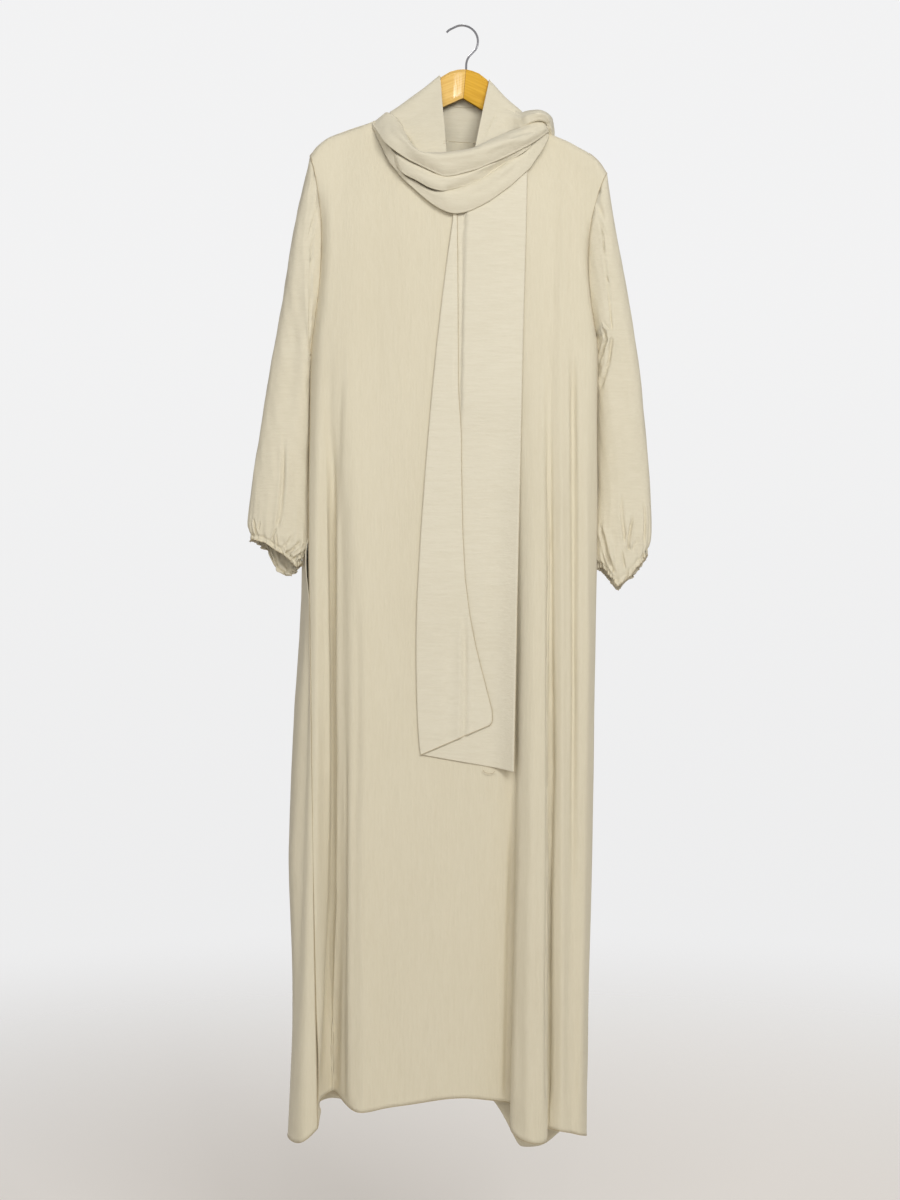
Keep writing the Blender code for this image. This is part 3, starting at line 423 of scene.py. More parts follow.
front = outer_skin("front", "front_panel", CLOTH_WALL, looks=FRONT_LOOKS)
for reach, cuts in PANEL_CELLS:
    cut_across(front, 0.9, cuts, reach)
soften(front, 2)
for columns in FRONT_FINE:
    finer_columns(front, *columns)
FRONT_CREASES = (
    (((549.0, 820), (548.6, 1000), (548.2, 1126)), 0.0015, 0.0018, (0.3, 0.01)),
    (((346, 720), (345.5, 850), (345, 950), (343.5, 1098)), 0.0018, 0.003, (0.4, 0.01)),
    (((573, 333), (574, 520), (574, 700), (573, 860), (571, 1000)), 0.0036, 0.0042, (0.12, 0.4)),
    (((547, 352), (549, 560), (550, 760), (548, 1000), (548, 1120)), 0.0046, 0.0048, (0.2, 0.05)),
    (((561, 380), (562, 600), (562, 860), (561, 1120)), 0.005, -0.0022, (0.2, 0.05)),
    (((586, 400), (587, 620), (585, 860), (580, 1120)), 0.005, -0.0014, (0.2, 0.05)),
    (((534, 700), (531, 860), (528, 1000), (527, 1130)), 0.008, -0.0024, (0.3, 0.02)),
    (((331, 392), (332, 560), (333, 760), (331, 900), (327, 1000), (321, 1112)), 0.0046, 0.0095, (0.25, 0.01)),
    (((338, 700), (339, 820), (338, 960), (335, 1090)), 0.006, 0.003, (0.5, 0.02)),
    (((346, 700), (345.5, 850), (345, 950), (344, 1098)), 0.0034, 0.003, (0.5, 0.02)),
    (((350, 640), (351, 760), (350, 900), (351, 1105)), 0.005, -0.0024, (0.5, 0.02)),
    (((356, 545), (358, 660), (357, 780), (353, 900)), 0.0055, 0.0022, (0.3, 0.5)),
    (((516, 790), (513, 870), (510, 960), (507, 1100)), 0.0048, 0.004, (0.3, 0.02)),
    (((343, 330), (341, 390), (337, 470), (334, 560)), 0.005, 0.0016, (0.4, 0.4)),
    (((395, 1000), (397, 1050), (400, 1104)), 0.014, 0.0012, (0.5, 0.02)),
    (((470, 960), (466, 1030), (462, 1100)), 0.018, 0.0012, (0.5, 0.02)),
)
press(front, FRONT_CREASES, FRONT_Y)
uneven(front, 0.0008, 0.09, 0.5, 3)
uneven(front, 0.00014, 0.022, 0.16, 7)
front_seams = open_edges(front, -0.19)
as_cloth(front, gown_crepe)
# the panel's seams and hem as cords of the darker seam crepe: real seams, painted darker as shade
seam_and_shade_cord("front_panel_seams_and_shade", front_seams, SEAM_RADIUS, seam_shade_crepe)
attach(front, "root")
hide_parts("front")

# Back panel
# The same cut as the front with a higher neck, in four soft pleats. It hangs nearly flat behind the
# hanger and comes round the left side to the seam, in a fold that stands out past the front.
BACK_LOOKS = (0, 1, 0)

back = outer_skin("back", "back_panel", CLOTH_WALL, looks=BACK_LOOKS)
for reach, cuts in PANEL_CELLS:
    cut_across(back, 0.9, cuts, reach)
soften(back, 2)
BACK_CREASES = (
    (((0.131, -0.43), (0.13, -0.7), (0.13, -1.1), (0.124, -1.6)), 0.007, 0.0024, (0.25, 0.05)),
    (((0.052, -0.52), (0.05, -0.8), (0.048, -1.2), (0.046, -1.54)), 0.0065, 0.0018, (0.3, 0.05)),
    (((-0.06, -0.48), (-0.056, -0.8), (-0.052, -1.2), (-0.05, -1.54)), 0.007, 0.002, (0.3, 0.05)),
    (((-0.141, -0.45), (-0.147, -0.8), (-0.146, -1.2), (-0.142, -1.56)), 0.006, 0.0026, (0.25, 0.05)),
    (((-0.172, -0.56), (-0.184, -0.85), (-0.19, -1.2), (-0.192, -1.55)), 0.005, -0.0012, (0.4, 0.1)),
    (((0.012, -0.7), (0.015, -1.00), (0.012, -1.35)), 0.009, 0.001, (0.4, 0.4)),
)
press(back, BACK_CREASES, None, looks=BACK_LOOKS)
# the fold at the left: its line as height and place on the picture, the heights it runs between, where
# it fades out, and how wide a strip of the back goes along with it, by depth
BACK_FOLD = (
    (532, 309), (542, 305), (554, 301.6), (575, 301), (600, 300.3), (640, 298.6), (700, 294.6), (760, 291.6),
    (860, 288),
)
FOLD_HEIGHTS = np.arange(528, 1090, 8.0)
FOLD_END = 1060
FOLD_FADE = 220
FOLD_STRIP = ((-0.04, 2.0), (-0.015, 26.0))
co, _ = places(back)
px, py = picture_places(co)
now = np.array([px[np.abs(py - height) < 10].min() for height in FOLD_HEIGHTS])
wanted = np.minimum(np.interp(FOLD_HEIGHTS, *zip(*BACK_FOLD)) - now, 0) * ease((FOLD_END - FOLD_HEIGHTS) / FOLD_FADE)
out = np.interp(py, FOLD_HEIGHTS, wanted, left=0, right=0)
fold_now = np.interp(py, FOLD_HEIGHTS, now)
strip = np.interp(co[:, 1], *zip(*FOLD_STRIP))
co[:, 0] += out * PIXEL * ease((fold_now + strip - px) / strip)
set_places(back, co)
uneven(back, 0.0009, 0.09, 0.5, 21)
uneven(back, 0.00014, 0.022, 0.16, 27)
back_seams = open_edges(back, -1.3)
as_cloth(back, gown_crepe)
# the hem as a cord of the darker seam crepe: a real hem, painted darker as shade
seam_and_shade_cord("back_panel_hem_and_shade", back_seams, SEAM_RADIUS, seam_shade_crepe)
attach(back, "root")
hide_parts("back")

# Sleeves
# Each is one cut with a seam under the arm, sewn into the armhole. A narrow elastic in the turned edge
# gathers the cuff. They hang folded flat beside the body.
# the cuff's finer cells, its edge's top and how far up the edge moves the cloth
CUFF_TOP = -0.715
CUFF_EDGE_TOP = -0.7
CUFF_LIFT = 0.045
# the depth between the sleeve's two halves, and over which they turn
SLEEVE_MIDDLE = -0.014
SIDE_TURN = 0.03
SLEEVE_HEIGHTS = np.arange(330, 590, 4.0)
ARMHOLE_FOOT = 336
ARMHOLE_BLEND = 16
SLEEVE_CELLS = (-0.72, -0.3)
SLEEVE_Y = -0.03
CUFF_HEM_RADIUS = 0.0006

sleeve_crepe = crepe("sleeve_crepe", (0.7, 0.642, 0.5), (0.655, 0.595, 0.452), "X")


def hang_sleeve(piece, cuff):
    """Brings the sleeve up to the body's side, and its gathered edge to the lines it hangs in."""
    co, _ = places(piece)
    behind = ease(0.5 + (co[:, 1] - SLEEVE_MIDDLE) / SIDE_TURN)
    px, py = picture_places(co)
    inwards = cuff["inwards"]
    inner_now, outer_now = [], []
    for height in SLEEVE_HEIGHTS:
        level = px[np.abs(py - height) < 4]
        ends = sorted((level.min(), level.max()), key=lambda end: end * inwards) if len(level) else (0, 1)
        outer_now.append(ends[0])
        inner_now.append(ends[1])
    inner, outer = np.interp(py, SLEEVE_HEIGHTS, inner_now), np.interp(py, SLEEVE_HEIGHTS, outer_now)
    over = np.clip((px - outer) / (inner - outer), 0, 1)
    goal = np.interp(py, *zip(*cuff["inner_side"])) + inwards * cuff["back_reach"] * behind
    below_armhole = ease((py - ARMHOLE_FOOT) / ARMHOLE_BLEND)
    co[:, 0] += (goal - inner) * PIXEL * below_armhole * ease((over - 0.35) / 0.65)
    px, py = picture_places(co)
    shape = opened(piece)
    edge = np.array([corner.index for corner in shape.verts if corner.is_boundary and corner.co.z < CUFF_EDGE_TOP])
    shape.free()
    rise, drop = 0, 0
    for share, half, line in (
        (1 - behind, co[edge, 1] < SLEEVE_MIDDLE, cuff["front_edge"]),
        (behind, co[edge, 1] >= SLEEVE_MIDDLE, cuff["back_edge"]),
    ):
        row = edge[half][np.argsort(px[edge[half]])]
        now = np.interp(px, px[row], py[row])
        rise = rise + (now - py) * PIXEL * share
        drop = drop + (np.interp(px, *zip(*line)) - now) * PIXEL * share
    co[:, 2] -= drop * ease(1 - rise / CUFF_LIFT)
    set_places(piece, co)
    return np.maximum(rise, 0), over


# the elastic's creases: how many go round, how high they run, their depth and their share of the way round
GATHERS = ((15, 0.026, 0.0038, 0.4), (38, 0.011, 0.0044, 0.52))
HALF_DEPTH = 0.016
# the elastic's own line, and the edge's flare under it
ELASTIC_DEPTH, ELASTIC_RISE, ELASTIC_WIDTH = 0.0016, 0.007, 0.0022
FLARE_DEPTH, FLARE_RISE = 0.001, 0.003


def gathers(piece, cuff, rise, over):
    """Long uneven creases that run up the sleeve, and small close ones at the edge."""
    co, normals = places(piece)
    seed = cuff["seed"]
    turn = np.arctan2((co[:, 1] - SLEEVE_MIDDLE) / HALF_DEPTH, over * 2 - 1)
    wave = np.zeros(len(co))
    for count, high, size, sharp in GATHERS:
        for k in range(count):
            at = (k + 0.9 * noise.noise(Vector((k * 1.7, seed, count)))) * 2 * math.pi / count
            deep = size * (0.6 + 1.2 * abs(noise.noise(Vector((k * 2.3, seed, 5.0)))))
            reach = high * (0.5 + 1.8 * abs(noise.noise(Vector((k * 3.1, seed, 9.0)))))
            lean = 14 * noise.noise(Vector((k * 4.3, seed, 2.0)))
            away = np.abs((turn - at - lean * rise + math.pi) % (2 * math.pi) - math.pi)
            width = sharp * math.pi / count * (0.75 + 0.6 * np.clip(rise / reach, 0, 1))
            wave += deep * np.exp(-(away / width) ** 2) * np.clip(1 - rise / reach, 0, 1) ** 1.2
    wave *= 1 + cuff["back_gathers"] * ease(0.5 + (co[:, 1] - SLEEVE_MIDDLE) / 0.02)
    elastic = ELASTIC_DEPTH * np.exp(-((rise - ELASTIC_RISE) / ELASTIC_WIDTH) ** 2)
    flare = -FLARE_DEPTH * np.exp(-(rise / FLARE_RISE) ** 2)
    set_places(piece, co - normals * (wave + elastic + flare)[:, None])


SLEEVES = {
    # on the picture: the columns with narrow folds and their top, the side by the body as height and
    # place, and the gathered edge in front and behind
    "left": dict(
        inwards=1, seed=4, back_reach=0.5, back_gathers=1.0, fine=(305, 317, 165),
        inner_side=(
            (332, 312), (345, 312.5), (362, 311.5), (385, 310), (430, 310), (520, 310), (548, 309.8), (556, 308),
            (566, 303),
        ),
        front_edge=(
            (250, 538.5), (257, 540.5), (263.5, 542), (269, 545.5), (274, 549), (282, 553.5), (290, 560),
            (297, 567.5), (300, 565), (304, 562.5), (307, 557), (310, 551),
        ),
        back_edge=(
            (250, 539.5), (256, 542.5), (263.5, 547.6), (269.5, 552), (271.5, 558), (274.5, 565), (279.5, 572),
            (286, 575.6), (292, 575.6), (296.5, 572.5), (300, 567), (304, 563.5), (310, 553),
        ),
    ),
    "right": dict(
        inwards=-1, seed=8, back_reach=8.0, back_gathers=0.2, fine=(597, 614, 165),
        inner_side=(
            (332, 596.5), (348, 596.5), (362, 598.5), (388, 600), (440, 602.5), (490, 602.8), (512, 600.5),
            (522, 598.5), (572, 598), (580, 601),
        ),
        front_edge=(
            (597, 565), (601, 566.5), (604.5, 569), (609, 575), (613, 580), (617.5, 586), (622, 582.5),
            (627, 578), (631, 575.5), (635, 569), (639.5, 564.5), (644, 559), (650, 551),
        ),
        back_edge=(
            (597, 568.5), (601, 571.5), (604.5, 574.5), (609, 580), (613, 585), (617.5, 590.5), (622, 585.5),
            (627, 580.5), (631, 578), (635, 574), (639.5, 568.5), (644, 561.5), (650, 553),
        ),
    ),
}
SLEEVE_CREASES = {
    "left": (
        (((284, 430), (283.2, 480), (280.4, 512), (276.7, 530)), 0.0026, 0.0042, (0.4, 0.1)),
        (((289, 440), (288, 480), (286, 512)), 0.006, -0.0016, (0.4, 0.3)),
        (((253, 518), (254.5, 527), (256.8, 536)), 0.0014, 0.003, (0.2, 0.2)),
        (((260, 521), (258, 530)), 0.0013, 0.0024, (0.3, 0.2)),
        (((276.7, 527), (274, 533), (272.5, 541)), 0.0014, 0.003, (0.2, 0.1)),
        (((276, 533), (276.6, 540), (277.4, 548)), 0.0012, 0.0026, (0.2, 0.1)),
        (((302, 540), (295, 547), (286.5, 554)), 0.0018, 0.0044, (0.25, 0.05)),
        (((309, 547), (303, 553), (293, 559)), 0.0018, 0.0048, (0.1, 0.1)),
        (((296, 532), (288, 543), (281, 549)), 0.002, 0.002, (0.4, 0.1)),
        (((309, 356), (315, 352)), 0.0016, 0.0034, (0.1, 0.1)),
        (((308, 363), (315, 358)), 0.0016, 0.0034, (0.1, 0.1)),
        (((296, 300), (292, 380), (288, 440)), 0.008, 0.0016, (0.4, 0.4)),
        (((312.9, 172), (312.4, 215), (311.6, 262), (310, 320), (309, 356)), 0.0011, 0.0036, (0.1, 0.2)),
        (((300, 200), (296, 260), (290, 330)), 0.009, -0.0012, (0.4, 0.4)),
    ),
    "right": (
        (((620.5, 490), (622, 515), (625.5, 545)), 0.0022, 0.0028, (0.4, 0.1)),
        (((633, 515), (630, 532), (628, 546), (631, 552)), 0.0018, 0.0048, (0.3, 0.1)),
        (((600, 527), (603, 535), (606, 549), (610, 562), (615, 574)), 0.002, 0.0052, (0.1, 0.05)),
        (((606, 528), (609, 540), (612, 556), (618, 570)), 0.004, -0.0018, (0.2, 0.2)),
        (((622, 552), (624, 562), (625, 568)), 0.0012, 0.0028, (0.2, 0.1)),
        (((640, 538), (635, 545), (632, 551)), 0.002, 0.0022, (0.3, 0.2)),
        (((644, 500), (645.5, 520), (644, 545)), 0.0016, 0.0024, (0.3, 0.2)),
        (((599.5, 178), (599.2, 205), (600, 236)), 0.0016, 0.0036, (0.2, 0.4)),
        (((601.8, 181), (600, 215), (604, 262), (609, 303), (612, 336)), 0.0011, 0.0034, (0.1, 0.1)),
        (((612, 336), (608, 364), (600, 388)), 0.0024, 0.004, (0.1, 0.1)),
        (((604, 332), (606, 340), (602, 354), (598, 366)), 0.0016, 0.0048, (0.1, 0.1)),
        (((598, 336), (603, 327), (608, 333)), 0.0018, -0.004, (0.2, 0.2)),
        (((620, 300), (622, 380), (620, 450)), 0.008, 0.0014, (0.4, 0.4)),
        (((613, 200), (618, 280), (626, 360)), 0.009, -0.0012, (0.4, 0.4)),
    ),
}

# the same crepe in a darker tan, for the hem cords: painted shade along hems, seams and folds
hem_shade_crepe = crepe("hem_shade_crepe", (0.58, 0.5, 0.35), (0.5, 0.42, 0.28), "X")
for side, cuff in SLEEVES.items():
    sleeve = outer_skin(f"sleeve_{side}", f"sleeve_{side}_cloth", CLOTH_WALL, by_edges=True)
    cut_across(sleeve, 0.8, 1, SLEEVE_CELLS)
    soften(sleeve, 2)
    split_edges(sleeve, lambda edge: all(corner.co.z < CUFF_TOP for corner in edge.verts), 1, smooth=0.5)
    finer_columns(sleeve, *cuff["fine"])
    uneven(sleeve, 0.0009, 0.06, 0.25, cuff["seed"])
    uneven(sleeve, 0.0003, 0.016, 0.06, cuff["seed"] + 30)
    rise, over = hang_sleeve(sleeve, cuff)
    press(sleeve, SLEEVE_CREASES[side], SLEEVE_Y)
    gathers(sleeve, cuff, rise, over)
    cuff_lines = open_edges(sleeve, CUFF_EDGE_TOP)
    as_cloth(sleeve, sleeve_crepe)
    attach(sleeve, "root")
    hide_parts(f"sleeve_{side}")
    # the gathered edge as a cord of the darker hem crepe: a real hem, painted darker as shade
    seam_and_shade_cord(f"sleeve_{side}_cuff_hem_and_shade", cuff_lines, CUFF_HEM_RADIUS, hem_shade_crepe)

# Scarf over the hanger
# The scarf's sewn end stands up round the neck and over the hanger's arms, like a hood that is pushed
# back, and sags between them behind the wood.
SCARF_WALL = 0.0016
HOOD_Y = -0.03
# the edge below and behind these goes down into the gown's neck, so that no gap shows over the seam
TUCK_TOP = -0.118
TUCK_FRONT = -0.025
TUCK = Vector((0, 0, -0.008))
NECK_SEAM_RADIUS = 0.00045

scarf_crepe = crepe("scarf_crepe", (0.7, 0.645, 0.508), (0.655, 0.598, 0.46), "X")

hood = outer_skin("scarf_hood", "scarf_hood_cloth", SCARF_WALL)
soften(hood, 3)
tuck = opened(hood)
tucked = {}
for edge in list(tuck.edges):
    if edge.is_boundary and all(corner.co.z < TUCK_TOP and corner.co.y > TUCK_FRONT for corner in edge.verts):
        (loop,) = edge.link_loops
        ends = (loop.link_loop_next.vert, loop.vert)
        for corner in ends:
            if corner not in tucked:
                tucked[corner] = tuck.verts.new(corner.co + TUCK)
        tuck.faces.new((*ends, tucked[ends[1]], tucked[ends[0]]))
tuck.to_mesh(hood.data)
tuck.free()
HOOD_CREASES = (
    (((404, 134), (408, 142), (412, 149)), 0.003, 0.0014, (0.4, 0.1)),
    (((498, 111), (492, 125), (486, 141)), 0.0012, 0.0022, (0.2, 0.1)),
)
press(hood, HOOD_CREASES, HOOD_Y, banks=0.1)
uneven(hood, 0.0006, 0.04, 0.09, 33, way=(1, 0, 0))
as_cloth(hood, scarf_crepe)
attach(hood, "root")
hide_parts("scarf_hood")
# behind the wood: the fold that sags from arm to arm, and the seam that joins the scarf to the gown, as cords
# in the darker hem crepe; the fold's cord is painted shade alone, the seam's a real seam painted darker as shade
inside_lines = (
    laid_on(hood, ((450, 105.2), (456, 107), (463, 107.8), (470, 107.6), (476, 106.6))),
    laid_on(hood, ((443.5, 141), (452, 141.6), (462, 142.4), (476, 143.4))),
    laid_on(hood, ((443.5, 143.2), (452, 143.8), (462, 144.8), (475, 146))),
)
seam_and_shade_cord("scarf_neck_seam_and_fold_shade", inside_lines, NECK_SEAM_RADIUS, hem_shade_crepe)

# Scarf laps
# The same length of scarf goes once round the neck and crosses the chest in three soft laps. Each
# lies flat and turns under along its lower edge.
LAP_Y = -0.07
LAP_COLUMNS = 9
LAP_FACE_ROWS = 22
LAP_TURN_ROWS = 9
LAP_BEHIND_ROWS = 3
LAP_BEHIND_STEP = 0.0006


def through(values, steps):
    """A smooth run of values through the measured ones, steps to each stretch."""
    values = np.array(values, float)
    padded = np.vstack((2 * values[0] - values[1], values, 2 * values[-1] - values[-2]))
    run = []
    for k in range(len(values) - 1):
        a, b, c, d = padded[k:k + 4]
        for step in range(steps):
            t = step / steps
            bend = (2 * a - 5 * b + 4 * c - d) * t * t + (3 * b - a - 3 * c + d) * t ** 3
            run.append(0.5 * (2 * b + (c - a) * t + bend))
    run.append(values[-1])
    return np.array(run)


def draped_lap(name, stations, turn, back_up, holds):
    """A lap through its stations, held near its upper edge's depth for a share of its width.

    Behind, the turned edge goes up again by back_up, or by that share of the width if it is below 0.
    """
    run = through(stations, LAP_COLUMNS)
    rows = []
    for number, (ux, uy, lx, ly, top_y, face_y, low_y) in enumerate(run):
        hold = np.interp(number / (len(run) - 1), *zip(*holds))
        upper = Vector(seen([(ux, uy)], top_y / 1000)[0])
        lower = Vector(seen([(lx, ly)], low_y / 1000)[0])
        down = lower - upper
        width = down.length
        down = down / width if width > 1e-6 else Vector((0, -1))
        radius = min(turn, width * 0.25)
        row = []
        for k in range(LAP_FACE_ROWS + 1):
            t = k / LAP_FACE_ROWS
            if t < hold:
                depth = face_y + (top_y - face_y) * (1 - t / hold) ** (2.7 - 1.2 * hold)
            else:
                depth = face_y + (low_y - face_y) * ((t - hold) / (1 - hold)) ** 1.6
            place = upper + down * ((width - radius) * t)
            row.append((place.x, depth / 1000, place.y))
        centre = upper + down * (width - radius)
        for k in range(1, LAP_TURN_ROWS + 1):
            angle = math.pi * k / LAP_TURN_ROWS
            place = centre + down * radius * math.sin(angle)
            row.append((place.x, low_y / 1000 + radius * (1 - math.cos(angle)), place.y))
        up_behind = -back_up * width if back_up < 0 else back_up
        for k in range(1, LAP_BEHIND_ROWS + 1):
            place = centre - down * up_behind * k / LAP_BEHIND_ROWS
            behind = low_y / 1000 + 2 * radius + LAP_BEHIND_STEP * k
            if back_up < 0:
                behind += (top_y / 1000 - behind) * (k / LAP_BEHIND_ROWS) ** 1.5
            row.append((place.x, behind, place.y))
        rows.append(row)
    shape = bmesh.new()
    grid = [[shape.verts.new(place) for place in row] for row in rows]
    for first, second in zip(grid, grid[1:]):
        for k in range(len(first) - 1):
            shape.faces.new((first[k], first[k + 1], second[k + 1], second[k]))
    return new_piece(name, shape)


LAPS = {
    "top": dict(
        flat=(0.33, 0.055), area=0.0145, turn=0.0017, back_up=0.008,
        holds=((0, 0.9), (0.25, 0.9), (0.36, 0.42), (0.66, 0.42), (0.8, 0.8), (1, 0.8)),
    ),
    "middle": dict(flat=(0.29, 0.045), area=0.0085, turn=0.0015, back_up=0.006, holds=((0, 0.5), (1, 0.5))),
    "bottom": dict(flat=(0.3, 0.05), area=0.0105, turn=0.0017, back_up=0.006, holds=((0, 0.42), (1, 0.42))),
}
# upper x and y and lower x and y on the picture, then the depth in millimetres at the upper edge, on
# the face and at the lower edge
LAP_STATIONS = {
    "top": (
        (402, 136, 394, 145, 4, 5, 5), (397, 127, 387, 137, 8, 9, 9), (391, 119, 380, 128, 7, 9, 9),
        (387, 114.6, 375, 123.6, -1, 0, 0), (385.5, 112.8, 373, 122.4, -12, -14, -14),
        (388, 112.6, 373.5, 126, -21, -28, -29), (393.5, 115, 377.5, 132.5, -25, -42, -43),
        (400, 122.5, 384, 141, -29, -57, -56), (406.5, 134, 394, 150, -36, -69, -66),
        (412.5, 144.5, 406.4, 158, -44, -76, -69), (420, 151, 418.5, 164.2, -54, -80, -70),
        (431, 152, 430.6, 170, -60, -81, -70), (442.7, 152, 443.5, 175.6, -61, -81, -69),
        (455, 150.5, 455, 174.6, -62, -81, -69), (467, 149, 467, 171.5, -62, -81, -69),
        (476, 146.4, 479, 168.2, -60, -81, -69), (486, 141, 491, 163.2, -54, -80, -69),
        (499, 135, 503, 158, -44, -79, -68), (510, 130.5, 514, 152.6, -40, -75, -65),
        (519, 127.5, 524, 147.6, -40, -67, -59), (527.5, 122.5, 534, 142.2, -40, -57, -51),
        (535.5, 118.6, 541.5, 137.2, -38, -47, -42), (541.5, 118.2, 546.5, 133.4, -34, -40, -35),
        (545, 121.5, 549, 132, -28, -31, -27), (547, 124, 551, 131, -18, -20, -20),
    ),
    "middle": (
        (383, 139, 385, 143, -36, -44, -44), (385, 142, 388, 148.5, -39, -48, -48),
        (389, 145, 392, 156, -42, -53, -52), (394, 149.5, 397, 165, -46, -59, -57),
        (400, 153, 402, 172.4, -50, -64, -61), (410, 159, 415, 179.4, -53, -68, -64),
        (422, 165, 429, 187.2, -55, -70, -65), (435, 171, 441, 190.6, -56, -70, -65),
        (447, 174, 449, 190, -56, -69, -62), (460, 171, 461, 186.8, -56, -68, -60.5),
        (473, 168, 475, 181.4, -56, -67, -59.5), (486, 163, 489, 173.8, -55, -66, -58.5),
        (499, 157.5, 502, 165.6, -54, -63, -57.5), (511, 151.5, 513.5, 158.6, -51, -60, -56),
        (521, 146.5, 524, 152.2, -46, -55, -54), (529, 143, 532, 146.6, -41, -48, -46),
    ),
    "bottom": (
        (374.5, 122, 373, 124.4, -8, -8, -8), (373, 122, 371.6, 125.4, -18, -20, -20),
        (374, 125, 374.5, 131, -26, -31, -31), (379, 131, 380.5, 143.6, -33, -41, -40),
        (385, 138, 387, 157.4, -40, -49, -47), (390, 144, 393.5, 167, -45, -54, -51),
        (395, 161, 402, 177, -46, -55, -53), (403, 173.4, 411.5, 186.2, -47, -56, -55),
        (416, 180.4, 423, 196.4, -48, -58, -55), (431, 188.6, 435, 205.4, -49, -60, -56),
        (443, 188, 446, 211.2, -53, -63, -57), (455, 186.5, 456, 213.4, -54, -63, -57),
        (467, 182.5, 468, 211.4, -54, -63, -57), (479, 177, 480, 205.6, -54, -63, -57),
        (491, 170, 494, 197.4, -53.5, -63, -57), (503, 163, 507, 188.2, -52.5, -62, -56),
        (514, 155, 519, 178.2, -49, -57, -53), (524, 148, 528.5, 169, -43, -51, -48),
        (532, 141, 537, 157.6, -37, -44, -42), (540, 135, 544.5, 146.4, -30, -36, -35),
        (546, 130, 549, 136.8, -22, -27, -26), (547, 129, 549.5, 134, -12, -13, -13),
    ),
}
LAP_CREASES = {
    "top": (
        (((384, 119), (394, 134), (408, 148)), 0.005, 0.0016, (0.3, 0.4)),
        (((425, 158), (445, 163), (470, 160), (498, 149)), 0.005, 0.0012, (0.3, 0.3)),
        (((478, 156), (500, 146), (522, 136)), 0.0036, -0.0012, (0.3, 0.3)),
        (((506, 140), (522, 132), (538, 126)), 0.003, 0.0016, (0.3, 0.2)),
    ),
    "middle": (
        (((404, 162), (424, 174), (444, 181), (462, 178)), 0.004, 0.0009, (0.3, 0.3)),
        (((470, 176), (490, 168), (508, 158)), 0.003, 0.001, (0.3, 0.2)),
    ),
    "bottom": (
        (((398, 166), (412, 181), (432, 196), (452, 202)), 0.005, 0.0011, (0.3, 0.4)),
        (((462, 196), (484, 188), (506, 174), (526, 156)), 0.005, 0.0012, (0.4, 0.2)),
    ),
}
for number, (place, lap_cut) in enumerate(LAPS.items()):
    lap = draped_lap(
        f"scarf_lap_{place}_cloth", LAP_STATIONS[place], lap_cut["turn"], lap_cut["back_up"], lap_cut["holds"]
    )
    press(lap, LAP_CREASES[place], LAP_Y)
    uneven(lap, 0.0005, 0.03, 0.12, 40 + number, way=(1, 0, 0))
    as_cloth(lap, scarf_crepe)
    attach(lap, "root")
    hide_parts(f"scarf_lap_{place}")

# Scarf roll and back lap
# Where the scarf turns on the right shoulder it rolls up on itself. Behind the neck it lies as one
# plain lap on the back panel.
ROLL_STATIONS = (
    (497, 101, 499, 136, -8, -27, -31), (505, 104.5, 507, 134, -12, -28, -31), (513, 110.5, 514, 131, -17, -32, -34),
    (519.8, 114.8, 520.5, 129.4, -22, -39, -40), (526.5, 113.6, 526.5, 125.2, -28, -47, -46),
    (533.5, 112.6, 533.5, 121.4, -31, -51, -49), (540.5, 112.8, 540, 120.2, -31, -51, -48),
    (546, 114.8, 544.6, 121.2, -29, -47, -44), (549.8, 118.2, 546.4, 123.6, -26, -42, -39),
    (551.8, 122.8, 547.2, 126.8, -22, -36, -34), (552.8, 128.5, 547.8, 130.6, -18, -30, -28),
    (553.3, 134.5, 548.8, 134.6, -14, -23, -21), (552.8, 139, 549.4, 138.6, -9, -15, -14),
)
roll = draped_lap("scarf_roll_cloth", ROLL_STATIONS, turn=0.004, back_up=-0.97, holds=((0, 0.6), (1, 0.6)))
uneven(roll, 0.0003, 0.016, 0.05, 51, way=(1, 0, 0))
as_cloth(roll, scarf_crepe)
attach(roll, "root")
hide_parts("scarf_roll")

back_lap = outer_skin("scarf_lap_back", "scarf_lap_back_cloth", SCARF_WALL, looks=BACK_LOOKS)
soften(back_lap, 4)
BACK_LAP_CREASE = ((-0.09, -0.17), (-0.04, -0.192), (0.03, -0.198), (0.09, -0.184))
crease(back_lap, BACK_LAP_CREASE, width=0.0045, depth=0.0014, fade=(0.3, 0.3), looks=BACK_LOOKS)
uneven(back_lap, 0.0007, 0.03, 0.12, 55, way=(1, 0, 0))
as_cloth(back_lap, scarf_crepe)
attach(back_lap, "root")
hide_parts("scarf_lap_back")

# Scarf tail
# The free end of the scarf hangs down the front, folded once along its left edge, with a narrow
# rolled hem round it and a corner that falls open at the bottom. The hem is drawn darker, as painted shade along the
# edges.
TAIL_WALL = 0.0012
TAIL_THICKNESS = 0.0006
TAIL_Y = -0.06
# the wide layer stands a little off the narrow one, so a dark slot runs down between their edges: its
# line as height and place on the picture, and how far the wide layer and the free edge move for it
SLOT = ((213, 466.3), (270, 464.6), (340, 463.2), (420, 461.9))
WIDE_FORWARD, WIDE_LEFT = 0.005, 0.0012
FREE_LEFT, FREE_BACK = 0.0036, 0.0006
# a small loop of the hem's thread, which stands out under the wide layer's edge
TAB_Y = -0.048
TAB = ((483, 770), (485, 772.6), (489, 773.4), (493, 773.2), (495, 771))

tail_crepe = crepe("tail_crepe", (0.72, 0.668, 0.535), (0.675, 0.62, 0.485), "X")

